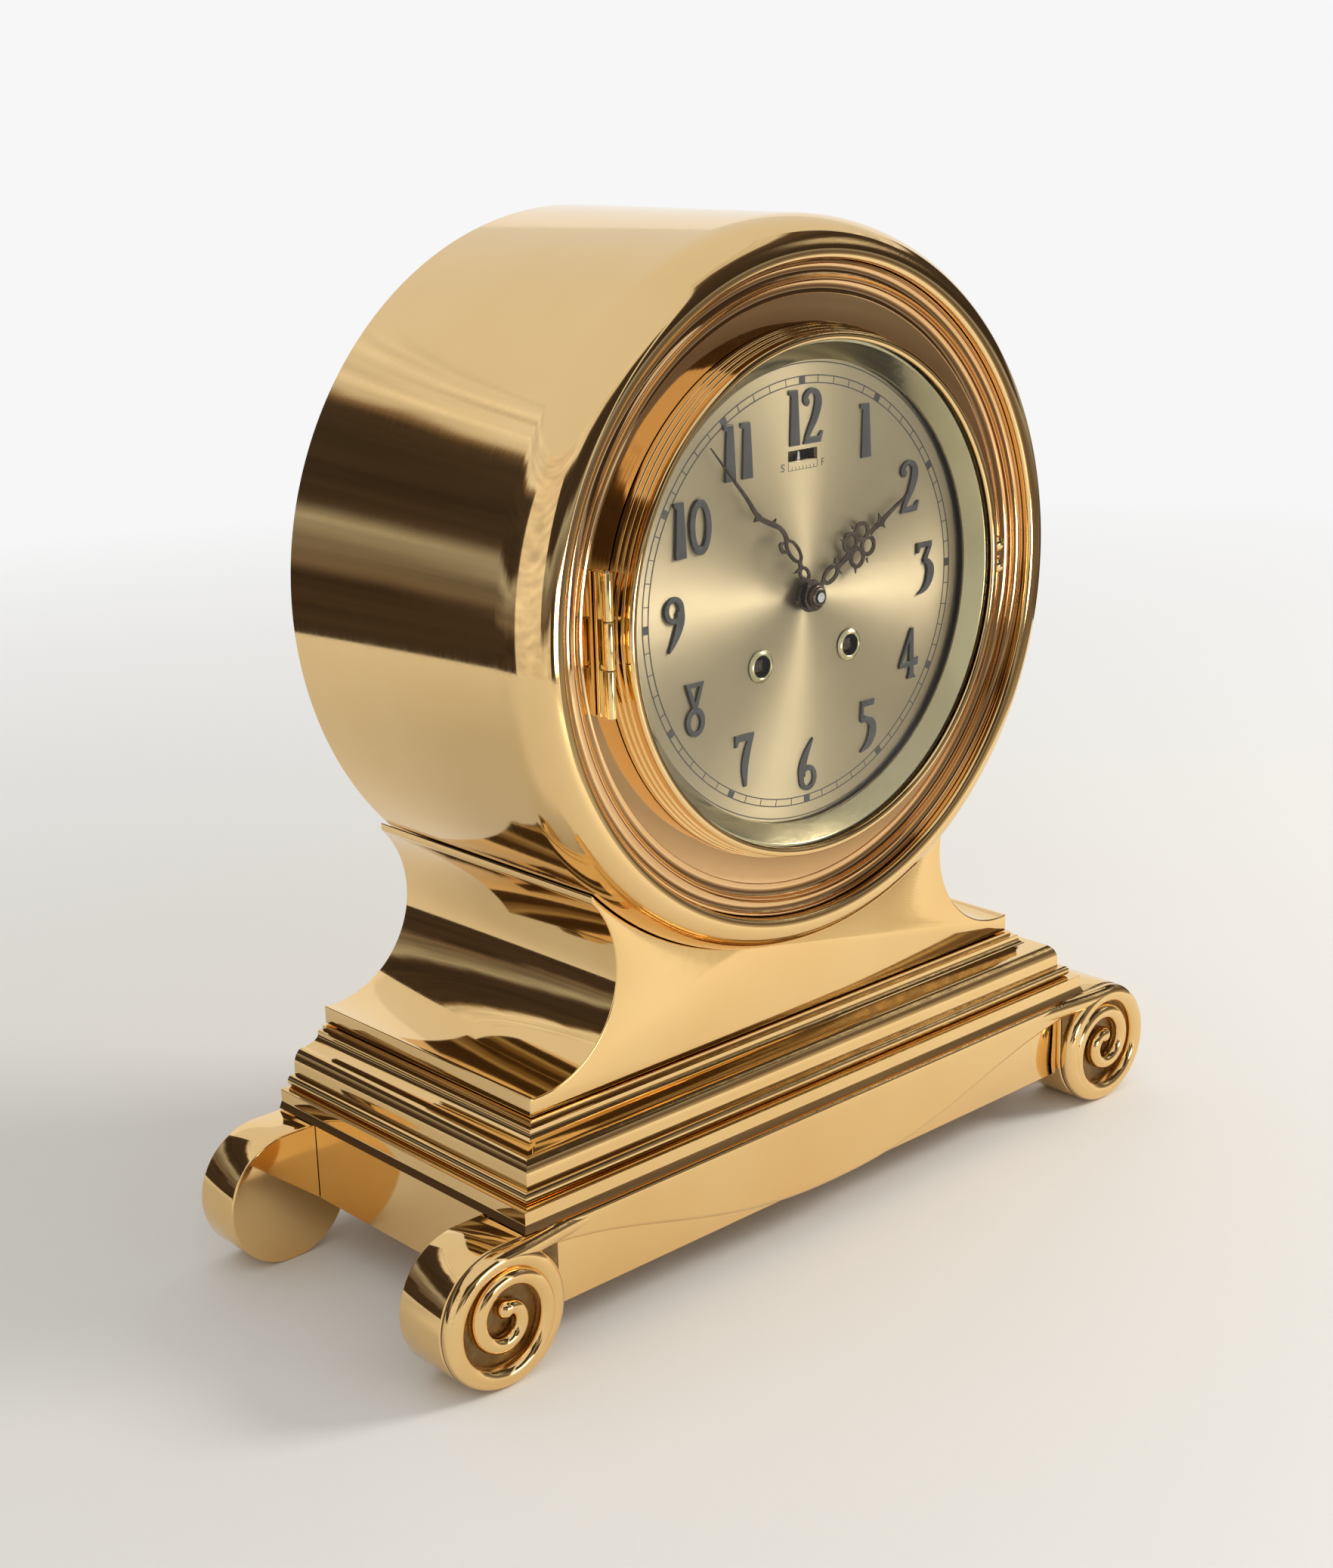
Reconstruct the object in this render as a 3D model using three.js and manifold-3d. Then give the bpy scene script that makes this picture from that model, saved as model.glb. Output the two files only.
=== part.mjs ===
// Mantel ship's bell clock: a polished bronze drum on a coved pedestal with scroll feet.
// Millimetres, +Z up, front towards -Y, origin on the floor under the middle of the base.
import * as THREE from 'three';
import { mergeVertices } from 'three/addons/utils/BufferGeometryUtils.js';
import Module from 'manifold-3d';

const wasm = await Module();
wasm.setup();

// Fits: gap between fixed pieces that touch, and running clearance of a shaft in its hole
const seatGap = 0.3;
const runGap = 0.25;

// Base: round feet, apron, side panels and the moulded plinth
const footRadius = 22.3;
const footOutset = 11.1;
const footFlat = 0.3;
const frontFootLength = 20;
const rearFootLength = 18.5;
const apronThickness = 3;
const fieldRise = 2.7;
const scrollPlate = 0.9;
const apronDrop = 28.7;
const panelThickness = 5;
const panelDrop = 26.5;
const plateHalfWidth = 131.1;
const plateHeight = 6.4;
const apronLedge = 1.4;
const bandProud = 3.7;
const fieldInset = 10.2;
const sweepEase = 1.15;
const beadRadius = 1.9;
const beadOutset = 14.6;
const ovoloOutset = 13.4;
const ovoloStraight = 2.4;
const ovoloWidth = 3.5;
const ovoloHeight = 5.8;
const cavettoHeight = 3;
const filletOutset = 3.2;
const topFillet = 1.1;
const quirkOutset = 1.2;
const topQuirk = 1.4;

// Scroll band: turns inwards from the apron's top edge to the ball in the eye
const scrollEyeDrop = 2;
const scrollPitch = 8.6;
const scrollTurns = 2;
const bandOuterRadius = 3.4;
const bandInnerRadius = 2.3;
const eyeRadius = 2.7;

// Pedestal: half widths, heights and the cove of its sides
const dadoHalfWidth = 111.7;
const dadoFillet = 6.2;
const ledgeHalfWidth = 84.2;
const ledgeHeight = 2.7;
const coveDepth = 21.4;
const dadoFrontY = -42.5;
const backY = 65.4;
const axisAboveDado = 144.4;

// Drum: outside radius, wall and the rounded front
const drumRadius = 116;
const drumWall = 4;
const drumRearY = 61.7;
const rollDepth = 17;
const rollWidth = 10;
const rollInnerWidth = 3.1;
const rollInnerDepth = 1.7;
const shoulderWidth = 6.8;
const shoulderThickness = 4;
const rearFlangeWidth = 14;
const rearFlangeThickness = 2.5;
const coverThickness = 2.6;

// Stepped ring between the roll and the door
const ringRiseWidth = 10.2;
const dialPlaneY = -50.7;
const dialRecess = 7.3;
const ringProud = 1.2;
const ringThickness = 7.4;
const dialLip = 3.5;
const ringSet = 1.6;
const ringRidge = 0.9;

// Door: bezel, glass and the sloping sight ring behind it
const ringFlatWidth = 8.9;
const doorRimWidth = 4.7;
const doorDepth = 9;
const doorStep = 0.6;
const doorLip = 1.1;
const glassThickness = 1.6;
const glassRebate = 1.6;
const sightWidth = 6.8;
const sightLip = 0.8;

// Hinge at nine o'clock and double ball catch at three o'clock
const hingeOffset = 2.5;
const hingeSetback = 4.8;
const knuckleRadius = 1.6;
const pinRadius = 0.7;
const leafThickness = 1.2;
const knuckleLength = 14.2;
const catchBallRadius = 2.6;
const catchTongue = 1.6;
const catchOffset = 3.2;

// Dial, winding holes, regulator slot and hands
const dialMargin = 5.2;
const dialThickness = 1.4;
const windX = 19.5;
const windDrop = 19.4;
const grommetHole = 4.1;
const grommetRim = 1.1;
const grommetWall = 0.7;
const grommetProud = 0.8;
const slotHeight = 43.3;
const slotWidth = 12.6;
const slotTall = 3.6;
const regulatorReach = 9;
const minuteTipGap = 5.3;
const hourHandShort = 15;
const handThickness = 0.7;
const hourHandAngle = 60;
const minuteHandAngle = -40;
const hubRadius = 5.6;
const minuteHub = 4.6;
const nutRadius = 3.7;
const nutHeight = 1.7;
const handRise = 2.3;
const handGap = 1.2;
const pipeClear = 1;
const bladeHalf = 0.9;
const bladeTaper = 0.7;
const bladeRoot = 0.6;
const eyeShare = 0.55;
const eyeTall = 0.62;
const minuteSway = 2.2;
const minuteWaves = 4;

// Movement: plates, pillars and arbors
const plateMargin = 6.5;
const plateThickness = 2.5;
const plateSpacing = 38;
const rearPlateRadius = 64;
const pillarRadius = 3.5;
const pillarCircle = 56;
const arborRadius = 1.6;
const pipeWall = 0.9;
const pivotRadius = 1;
const wheelThickness = 1.2;
const pinionLength = 3.2;
const barrelRadius = 14;
const barrelLength = 13;
const windSquare = 3.4;
const windRecess = 0.8;
const trainArbor = 0.9;
const toothTip = 0.7;
const toothRoot = 1.1;
const motionDistance = 9.6;
const motionGap = 0.9;
const thirdModule = 0.6;
const thirdPitch = 12.4;
const thirdAngle = 60;
const balanceRadius = 7;
const balanceX = -8;
const balanceRise = 47.5;
const strikeAngle = 130;
const hammerWheelRadius = 12;
const hammerX = 30;
const hammerDrop = 45;
const hammerHead = 4;
const hammerAngle = -20;
const hammerClear = 1;
const balanceRim = 1.4;

// Bell, hammer and the bolts that hold the drum to its pedestal
const bellRadius = 42;
const bellDepth = 22;
const bellWall = 1.8;
const bellClear = 14;
const boltRadius = 3.2;
const boltHead = 6;
const boltHeadHeight = 4;
const boltFrontY = -12;
const boltRearY = 40;

// Facets: round the drum, round smaller pieces, along an arc and along the scrolls and hands
const drumFacets = 48;
const smallFacets = 16;
const arcSteps = 6;
const thinFacets = 10;
const pivotFacets = 8;
const hexSides = 6;
const bladeSteps = 26;
const scrollSteps = 16;
const leadSteps = 4;
const bandSides = 7;

// Colours of the finishes
const bronze = { color: 0xd9a766, roughness: 0.16, metalness: 1 };
const brass = { color: 0xd8b45c, roughness: 0.22, metalness: 1 };
const silvered = { color: 0xc9c3ad, roughness: 0.4, metalness: 0.9 };
const steel = { color: 0x9aa0a4, roughness: 0.3, metalness: 1 };
const bluedSteel = { color: 0x241f1c, roughness: 0.35, metalness: 0.7 };
const clearGlass = { color: 0xeef4f2, roughness: 0.03, metalness: 0, transparent: true, opacity: 0.2 };

const clock = new THREE.Group();

// Makes a mesh's shared vertices one and turns its faces outwards
function closed(geometry) {
  const bare = geometry.index ? geometry : geometry.clone();
  bare.deleteAttribute('normal');
  bare.deleteAttribute('uv');
  const merged = mergeVertices(bare, 1e-4);
  const index = [];
  const source = merged.index.array;
  for (let i = 0; i < source.length; i += 3) {
    const [a, b, c] = [source[i], source[i + 1], source[i + 2]];
    if (a !== b && b !== c && c !== a) index.push(a, b, c);
  }
  const p = merged.attributes.position;
  const va = new THREE.Vector3();
  const vb = new THREE.Vector3();
  const vc = new THREE.Vector3();
  let volume = 0;
  for (let i = 0; i < index.length; i += 3) {
    va.fromBufferAttribute(p, index[i]);
    vb.fromBufferAttribute(p, index[i + 1]);
    vc.fromBufferAttribute(p, index[i + 2]);
    volume += va.dot(vb.cross(vc));
  }
  if (volume < 0) {
    for (let i = 0; i < index.length; i += 3) [index[i], index[i + 1]] = [index[i + 1], index[i]];
  }
  merged.setIndex(index);
  return merged;
}

function toSolid(geometry) {
  const g = closed(geometry);
  return new wasm.Manifold(new wasm.Mesh({
    numProp: 3,
    vertProperties: new Float32Array(g.attributes.position.array),
    triVerts: new Uint32Array(g.index.array),
  }));
}

function fromSolid(solid) {
  const mesh = solid.getMesh();
  const geometry = new THREE.BufferGeometry();
  geometry.setAttribute('position', new THREE.BufferAttribute(new Float32Array(mesh.vertProperties), 3));
  geometry.setIndex(Array.from(mesh.triVerts));
  return geometry;
}

// Joins the first list of geometries and cuts the second from them
function combine(joined, cut = []) {
  let solid = toSolid(joined[0]);
  for (const g of joined.slice(1)) solid = solid.add(toSolid(g));
  for (const g of cut) solid = solid.subtract(toSolid(g));
  return fromSolid(solid);
}

function add(name, geometry, finish) {
  const mesh = new THREE.Mesh(closed(geometry), new THREE.MeshStandardMaterial(finish));
  mesh.name = name;
  clock.add(mesh);
}

// Turns a closed outline of [radius, y] points about the clock's own axis direction
function turn(outline, facets = drumFacets, x = 0, z = 0) {
  const points = outline.map(([r, y]) => new THREE.Vector2(r, y));
  points.push(points[0].clone());
  return new THREE.LatheGeometry(points, facets).translate(x, 0, z);
}

// Solid turned bar along y, from a list of [radius, y] points off the axis
function bar(outline, facets = smallFacets, x = 0, z = 0) {
  const ends = [[0, outline[0][1]], ...outline, [0, outline[outline.length - 1][1]]];
  const points = ends.map(([r, y]) => new THREE.Vector2(r, y));
  return new THREE.LatheGeometry(points, facets).translate(x, 0, z);
}

function rod(radius, y0, y1, x = 0, z = 0, facets = smallFacets) {
  return bar([[radius, y0], [radius, y1]], facets, x, z);
}

// Stands an outline in the x-z plane up as a wall from y0 to y1
function wall(outline, y0, y1, holes = []) {
  const shape = new THREE.Shape(outline.map(([x, z]) => new THREE.Vector2(x, z)));
  for (const hole of holes) shape.holes.push(new THREE.Path(hole.map(([x, z]) => new THREE.Vector2(x, z))));
  const geometry = new THREE.ExtrudeGeometry(shape, { depth: y1 - y0, bevelEnabled: false });
  return geometry.rotateX(Math.PI / 2).translate(0, y1, 0);
}

function block(x0, x1, y0, y1, z0, z1) {
  const geometry = new THREE.BoxGeometry(x1 - x0, y1 - y0, z1 - z0);
  return geometry.translate((x0 + x1) / 2, (y0 + y1) / 2, (z0 + z1) / 2);
}

function mirrored(geometry) {
  return geometry.clone().scale(-1, 1, 1);
}

// Points along an elliptic arc, in degrees
function arc(cx, cz, rx, rz, from, to, steps = arcSteps) {
  const points = [];
  for (let i = 0; i <= steps; i++) {
    const t = THREE.MathUtils.degToRad(from + (to - from) * i / steps);
    points.push([cx + rx * Math.cos(t), cz + rz * Math.sin(t)]);
  }
  return points;
}

function circle(cx, cz, r, steps = smallFacets) {
  return arc(cx, cz, r, r, 0, 360, steps).slice(0, -1);
}

// Arc between two points that bows to one side by the given depth
function bow(a, b, depth, steps) {
  const start = new THREE.Vector2(...a);
  const chord = new THREE.Vector2(...b).sub(start);
  const half = chord.length() / 2;
  const radius = (half * half + depth * depth) / (2 * depth);
  const side = new THREE.Vector2(chord.y, -chord.x).normalize();
  const centre = start.clone().addScaledVector(chord, 0.5).addScaledVector(side, radius - depth);
  const first = Math.atan2(a[1] - centre.y, a[0] - centre.x);
  const last = Math.atan2(b[1] - centre.y, b[0] - centre.x);
  const sweep = Math.atan2(Math.sin(last - first), Math.cos(last - first));
  const points = [];
  for (let i = 0; i <= steps; i++) {
    const t = first + sweep * i / steps;
    points.push([centre.x + radius * Math.cos(t), centre.y + radius * Math.sin(t)]);
  }
  return points;
}

// Upright round bar, for the bolts and the hinge
function upright(radius, z0, z1, x, y, facets = smallFacets) {
  const geometry = new THREE.CylinderGeometry(radius, radius, z1 - z0, facets);
  return geometry.rotateX(Math.PI / 2).translate(x, y, (z0 + z1) / 2);
}

// Levels and places worked out from the sizes above
const footZ = footRadius - footFlat;
const footCentreX = plateHalfWidth + footOutset;
const fieldEnd = footCentreX - fieldInset;
const baseTop = footZ + footRadius;
const plinthZ = baseTop + seatGap;
const frontY = dialPlaneY - dialRecess;
const rollStartY = frontY + rollDepth;
const ringSeat = drumRadius - rollWidth - rollInnerWidth;
const ringFlatOuter = ringSeat - ringRiseWidth;
const doorRadius = ringFlatOuter - ringFlatWidth;
const doorOpening = doorRadius - doorRimWidth;
const sightInner = doorOpening - sightWidth;
const dialRadius = sightInner + dialMargin;
const plateRadius = dialRadius + plateMargin;
const minuteHandLength = sightInner - minuteTipGap;
const hourHandLength = minuteHandLength - hourHandShort;
const ringFlatY = dialPlaneY - ringProud;
const ringBackY = ringFlatY + ringThickness;
const shoulderY = ringBackY + seatGap;
const drumInner = drumRadius - drumWall;
const dialBackY = dialPlaneY + dialThickness;

// Moulded plinth: outsets from the pedestal and heights above the plate's underside
const plateOutset = plateHalfWidth - dadoHalfWidth;
const quirkZ = plateHeight + 2 * beadRadius;
const ovoloZ = quirkZ + ovoloStraight;
const cavettoZ = ovoloZ + ovoloHeight;
const filletZ = cavettoZ + cavettoHeight;
const quirkTop = filletZ + topFillet;
const plinthHeight = quirkTop + topQuirk;
const dadoZ = plinthZ + plinthHeight + seatGap;
const axisZ = dadoZ + axisAboveDado;
const saddleRadius = drumRadius + seatGap;
const cavettoOutset = ovoloOutset - ovoloWidth;
const plinthProfile = [
  [plateOutset, 0],
  [plateOutset, plateHeight],
  ...arc(beadOutset, plateHeight + beadRadius, beadRadius, beadRadius, -90, 90),
  [ovoloOutset, quirkZ],
  ...arc(cavettoOutset, ovoloZ, ovoloWidth, ovoloHeight, 0, 90),
  ...arc(cavettoOutset, filletZ, cavettoOutset - filletOutset, cavettoHeight, -90, -180).slice(1),
  [filletOutset, quirkTop],
  [quirkOutset, quirkTop],
  [quirkOutset, plinthHeight],
];

// Lofts the profile round the front and both sides, with mitred corners and a flat back
function mitredMoulding(profile) {
  const position = [];
  const index = [];
  for (const [outset, height] of profile) {
    const halfWidth = dadoHalfWidth + outset;
    const front = dadoFrontY - outset;
    const z = plinthZ + height;
    position.push(-halfWidth, front, z, halfWidth, front, z, halfWidth, backY, z, -halfWidth, backY, z);
  }
  for (let level = 0; level + 1 < profile.length; level++) {
    for (let side = 0; side < 4; side++) {
      const a = level * 4 + side;
      const b = level * 4 + (side + 1) % 4;
      index.push(a, b, b + 4, a, b + 4, a + 4);
    }
  }
  const top = (profile.length - 1) * 4;
  index.push(0, 2, 1, 0, 3, 2, top, top + 1, top + 2, top, top + 2, top + 3);
  const geometry = new THREE.BufferGeometry();
  geometry.setAttribute('position', new THREE.Float32BufferAttribute(position, 3));
  geometry.setIndex(index);
  return geometry;
}

// Bolts stand in the pedestal and hold the drum down from under the plinth
const boltPlaces = { front: boltFrontY, rear: boltRearY };
const boltHoles = Object.values(boltPlaces).map((y) => upright(boltRadius + runGap, 0, axisZ, 0, y));
add('plinth', combine([mitredMoulding(plinthProfile)], boltHoles), bronze);

const ledgeTopZ = axisZ - Math.sqrt(saddleRadius ** 2 - ledgeHalfWidth ** 2);
const coveFoot = [dadoHalfWidth, dadoZ + dadoFillet];
const coveHead = [ledgeHalfWidth, ledgeTopZ - ledgeHeight];
const coveSide = [...bow(coveFoot, coveHead, coveDepth, 2 * arcSteps), [ledgeHalfWidth, axisZ]];
const dadoSide = [[dadoHalfWidth, dadoZ], ...coveSide];
const dadoOutline = [...dadoSide, ...dadoSide.map(([x, z]) => [-x, z]).reverse()];
const saddle = rod(saddleRadius, dadoFrontY - drumRadius, backY + drumRadius, 0, axisZ, drumFacets);
add('pedestal', combine([wall(dadoOutline, dadoFrontY, backY)], [saddle, ...boltHoles]), bronze);

// Foot: a drum of round section whose crown runs level into the plinth
function footOutline() {
  const flatHalf = Math.sqrt(footRadius ** 2 - footZ ** 2);
  const low = THREE.MathUtils.radToDeg(Math.atan2(-footZ, flatHalf));
  const inner = footCentreX - footRadius;
  return [
    ...arc(footCentreX, footZ, footRadius, footRadius, low, 90, 2 * arcSteps),
    [inner, baseTop],
    ...arc(footCentreX, footZ, footRadius, footRadius, 180, 360 - 180 - low, arcSteps),
  ];
}
const fieldY = dadoFrontY - plateOutset - apronLedge;
const bandFrontY = fieldY - bandProud;
const apronY = fieldY + fieldRise;
const scrollBackY = fieldY + scrollPlate;
const frontFootY = scrollBackY + seatGap;
const frontFootBackY = frontFootY + frontFootLength;
const rearFootY = backY - rearFootLength;
const footSection = footOutline();
const footSpans = { front: [frontFootY, frontFootBackY], rear: [rearFootY, backY] };
for (const [place, [y0, y1]] of Object.entries(footSpans)) {
  const foot = wall(footSection, y0, y1);
  add(`${place}_right_foot`, foot, bronze);
  add(`${place}_left_foot`, mirrored(foot), bronze);
}

// Side panels close the base between the feet, and a plain apron closes its back
const panelX = plateHalfWidth - seatGap;
const panelY0 = frontFootBackY + seatGap;
const panelY1 = rearFootY - seatGap;
const panel = block(panelX - panelThickness, panelX, panelY0, panelY1, baseTop - panelDrop, baseTop);
add('right_side_panel', panel, bronze);
add('left_side_panel', mirrored(panel), bronze);
const apronHalfWidth = footCentreX - footRadius - seatGap;
add('rear_apron', block(
  -apronHalfWidth, apronHalfWidth, backY - panelThickness, backY, baseTop - apronDrop, baseTop), bronze);

// Sweeps a round section of changing radius along a line of points, with closed ends
function sweep(centres, radii, sides) {
  const position = [];
  const index = [];
  const count = centres.length;
  for (let i = 0; i < count; i++) {
    const before = centres[Math.max(i - 1, 0)];
    const after = centres[Math.min(i + 1, count - 1)];
    const along = after.clone().sub(before).normalize();
    const out = new THREE.Vector3(0, -1, 0);
    const across = new THREE.Vector3().crossVectors(along, out);
    for (let s = 0; s < sides; s++) {
      const t = 2 * Math.PI * s / sides;
      const point = centres[i].clone();
      point.addScaledVector(out, radii[i] * Math.cos(t)).addScaledVector(across, radii[i] * Math.sin(t));
      position.push(point.x, point.y, point.z);
    }
  }
  for (let i = 0; i + 1 < count; i++) {
    for (let s = 0; s < sides; s++) {
      const a = i * sides + s;
      const b = i * sides + (s + 1) % sides;
      index.push(a, b, b + sides, a, b + sides, a + sides);
    }
  }
  const last = (count - 1) * sides;
  for (let s = 1; s + 1 < sides; s++) index.push(0, s + 1, s, last, last + s, last + s + 1);
  const geometry = new THREE.BufferGeometry();
  geometry.setAttribute('position', new THREE.Float32BufferAttribute(position, 3));
  geometry.setIndex(index);
  return geometry;
}

// Scroll band: leaves the apron's top edge, winds inwards and ends in a ball by the eye
function scroll() {
  const eye = new THREE.Vector3(footCentreX, 0, footZ - scrollEyeDrop);
  const start = baseTop - bandOuterRadius - eye.z;
  const steps = Math.round(scrollTurns * scrollSteps);
  const centres = [];
  const radii = [];
  for (let i = 0; i < leadSteps; i++) {
    const y = THREE.MathUtils.lerp(fieldY, bandFrontY, i / leadSteps) + bandOuterRadius;
    const x = THREE.MathUtils.lerp(fieldEnd, footCentreX, i / leadSteps);
    centres.push(new THREE.Vector3(x, y, baseTop - bandOuterRadius));
    radii.push(bandOuterRadius);
  }
  for (let i = 0; i <= steps; i++) {
    const turns = scrollTurns * i / steps;
    const angle = Math.PI / 2 - 2 * Math.PI * turns;
    const radius = start - scrollPitch * turns;
    const band = THREE.MathUtils.lerp(bandOuterRadius, bandInnerRadius, i / steps);
    centres.push(new THREE.Vector3(
      eye.x + radius * Math.cos(angle), bandFrontY + band, eye.z + radius * Math.sin(angle)));
    radii.push(band);
  }
  const end = centres[centres.length - 1];
  const ball = new THREE.SphereGeometry(eyeRadius, thinFacets, bandSides);
  ball.translate(end.x, bandFrontY + eyeRadius, end.z);
  return [sweep(centres, radii, bandSides), ball];
}

// Apron: a panel between the feet, a raised field that sweeps down its middle, and scrolls on plates
const apronBottom = baseTop - apronDrop;
const fieldLow = baseTop - 2 * bandOuterRadius;
const fieldSide = [[footCentreX, baseTop], [footCentreX, fieldLow]];
for (let i = 0; i < 2 * arcSteps; i++) {
  const share = 1 - i / (2 * arcSteps);
  const ease = (1 - Math.cos(Math.PI * share ** sweepEase)) / 2;
  fieldSide.push([fieldEnd * share, apronBottom + (fieldLow - apronBottom) * ease]);
}
const fieldOutline = [...fieldSide, [0, apronBottom], ...fieldSide.map(([x, z]) => [-x, z]).reverse()];
const scrollPieces = scroll();
const scrollGround = wall(footSection, fieldY, scrollBackY);
const footRoom = block(apronHalfWidth, plateHalfWidth * 2, scrollBackY, backY, 0, axisZ);
add('front_apron', combine([
  block(-apronHalfWidth, apronHalfWidth, apronY, apronY + apronThickness, apronBottom, baseTop),
  wall(fieldOutline, fieldY, apronY + apronThickness / 2),
  scrollGround,
  mirrored(scrollGround),
  ...scrollPieces,
  ...scrollPieces.map(mirrored),
], [footRoom, mirrored(footRoom)]), bronze);

// Drum: one turned shell with a rounded front, a shoulder for the ring and a flange for the cover
const rollCrest = drumRadius - rollWidth;
const coverFrontY = drumRearY - coverThickness;
const flangeBackY = coverFrontY - seatGap;
const flangeFrontY = flangeBackY - rearFlangeThickness;
const shoulderBackY = shoulderY + shoulderThickness;
const shoulderInner = ringSeat - shoulderWidth;
const edgeRound = 1;
add('case_drum', combine([turn([
  [drumRadius - edgeRound, drumRearY],
  [drumRadius, drumRearY - edgeRound],
  ...arc(rollCrest, rollStartY, rollWidth, -rollDepth, 0, 90),
  ...arc(rollCrest, frontY + rollInnerDepth, rollInnerWidth, -rollInnerDepth, 90, 180, 3).slice(1),
  [ringSeat, shoulderY],
  [shoulderInner, shoulderY],
  [shoulderInner, shoulderBackY],
  [drumInner, shoulderBackY + drumWall],
  [drumInner, flangeFrontY],
  [drumInner - rearFlangeWidth, flangeFrontY],
  [drumInner - rearFlangeWidth, flangeBackY],
  [drumInner, flangeBackY],
  [drumInner, drumRearY],
], drumFacets, 0, axisZ)], boltHoles), bronze);
const coverRadius = drumInner - seatGap;
add('rear_cover', bar([
  [coverRadius, coverFrontY],
  [coverRadius, drumRearY - edgeRound],
  [coverRadius - edgeRound, drumRearY],
], drumFacets, 0, axisZ), bronze);

// Ring: steps down from the roll to a flat, and holds the dial in its rebate
const ringOuter = ringSeat - seatGap;
const ringFrontY = frontY + rollInnerDepth + ringSet;
const dialBore = dialRadius + seatGap;
const ringStep = (ringOuter - ringFlatOuter) / 4;
const ringFall = (ringFlatY - ringFrontY) / 4;
add('front_ring', turn([
  [ringOuter, ringFrontY],
  [ringOuter - ringRidge, ringFrontY],
  [ringOuter - ringRidge, ringFrontY + ringFall],
  [ringOuter - ringStep, ringFrontY + ringFall],
  [ringOuter - 2 * ringStep, ringFrontY + 2 * ringFall - ringRidge],
  [ringOuter - 2 * ringStep - ringRidge, ringFrontY + 2 * ringFall - ringRidge],
  [ringOuter - 2 * ringStep - ringRidge, ringFrontY + 2.5 * ringFall],
  [ringOuter - 3 * ringStep, ringFrontY + 3 * ringFall],
  [ringFlatOuter, ringFlatY],
  [dialBore, ringFlatY],
  [dialBore, dialBackY + seatGap],
  [dialBore - dialLip, dialBackY + seatGap],
  [dialBore - dialLip, ringBackY],
  [ringOuter, ringBackY],
], drumFacets, 0, axisZ), bronze);

// Door: bezel with fine steps on its outside, glass in a rebate and the sloping sight ring
const doorBackY = ringFlatY - seatGap;
const doorFrontY = doorBackY - doorDepth;
const rimRound = 0.7;
const rebateRadius = doorOpening + glassRebate;
const glassFrontY = doorFrontY + doorLip + seatGap;
const glassBackY = glassFrontY + glassThickness;
const stepDepth = (doorDepth - 2 * rimRound) / 4;
const stepped = [0, 1, 2, 3].flatMap((i) => [
  [doorRadius - i * doorStep, doorBackY - i * stepDepth],
  [doorRadius - i * doorStep, doorBackY - (i + 1) * stepDepth],
]);
add('door_bezel', turn([
  ...stepped,
  [doorOpening + 2 * rimRound, doorFrontY],
  [doorOpening, doorFrontY + rimRound],
  [doorOpening, doorFrontY + doorLip],
  [rebateRadius, doorFrontY + doorLip],
  [rebateRadius, doorBackY],
], drumFacets, 0, axisZ), brass);
const glassRadius = rebateRadius - seatGap;
add('door_glass', rod(glassRadius, glassFrontY, glassBackY, 0, axisZ, drumFacets), clearGlass);
add('sight_ring', turn([
  [glassRadius, glassBackY + seatGap],
  [doorOpening - sightLip, glassBackY + seatGap],
  [sightInner, doorBackY - sightLip],
  [sightInner, doorBackY],
  [glassRadius, doorBackY],
], drumFacets, 0, axisZ), silvered);

// Hinge: two knuckles on a leaf against the ring, one on the door, and a pin through all three
const hingeX = -(doorRadius + hingeOffset);
const hingeY = ringFlatY - hingeSetback;
const leafBackY = ringFlatY - seatGap;
const leafFrontY = leafBackY - leafThickness;
const midKnuckle = knuckleLength / 2;
const hingeTop = midKnuckle + seatGap + knuckleLength;
const pinHole = upright(
  pinRadius + runGap, axisZ - 2 * hingeTop, axisZ + 2 * hingeTop, hingeX, hingeY, thinFacets);
const leafX0 = hingeX - knuckleRadius;
const leafX1 = hingeX + knuckleRadius;
const outerKnuckles = [-1, 1].flatMap((side) => {
  const z0 = axisZ + Math.min(side * hingeTop, side * (midKnuckle + seatGap));
  const z1 = z0 + knuckleLength;
  return [
    upright(knuckleRadius, z0, z1, hingeX, hingeY),
    block(hingeX - leafThickness / 2, hingeX + leafThickness / 2, hingeY, leafBackY, z0, z1),
  ];
});
const caseLeaf = block(leafX0, leafX1, leafFrontY, leafBackY, axisZ - hingeTop, axisZ + hingeTop);
add('case_hinge', combine([caseLeaf, ...outerKnuckles], [pinHole]), brass);
const doorWebX = -(doorRadius + seatGap);
const doorKnuckle = upright(knuckleRadius, axisZ - midKnuckle, axisZ + midKnuckle, hingeX, hingeY);
const doorWeb = block(
  hingeX, doorWebX, hingeY, leafFrontY - seatGap, axisZ - midKnuckle, axisZ + midKnuckle);
add('door_hinge', combine([doorKnuckle, doorWeb], [pinHole]), brass);
add('hinge_pin', upright(pinRadius, axisZ - hingeTop, axisZ + hingeTop, hingeX, hingeY, thinFacets), steel);

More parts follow.
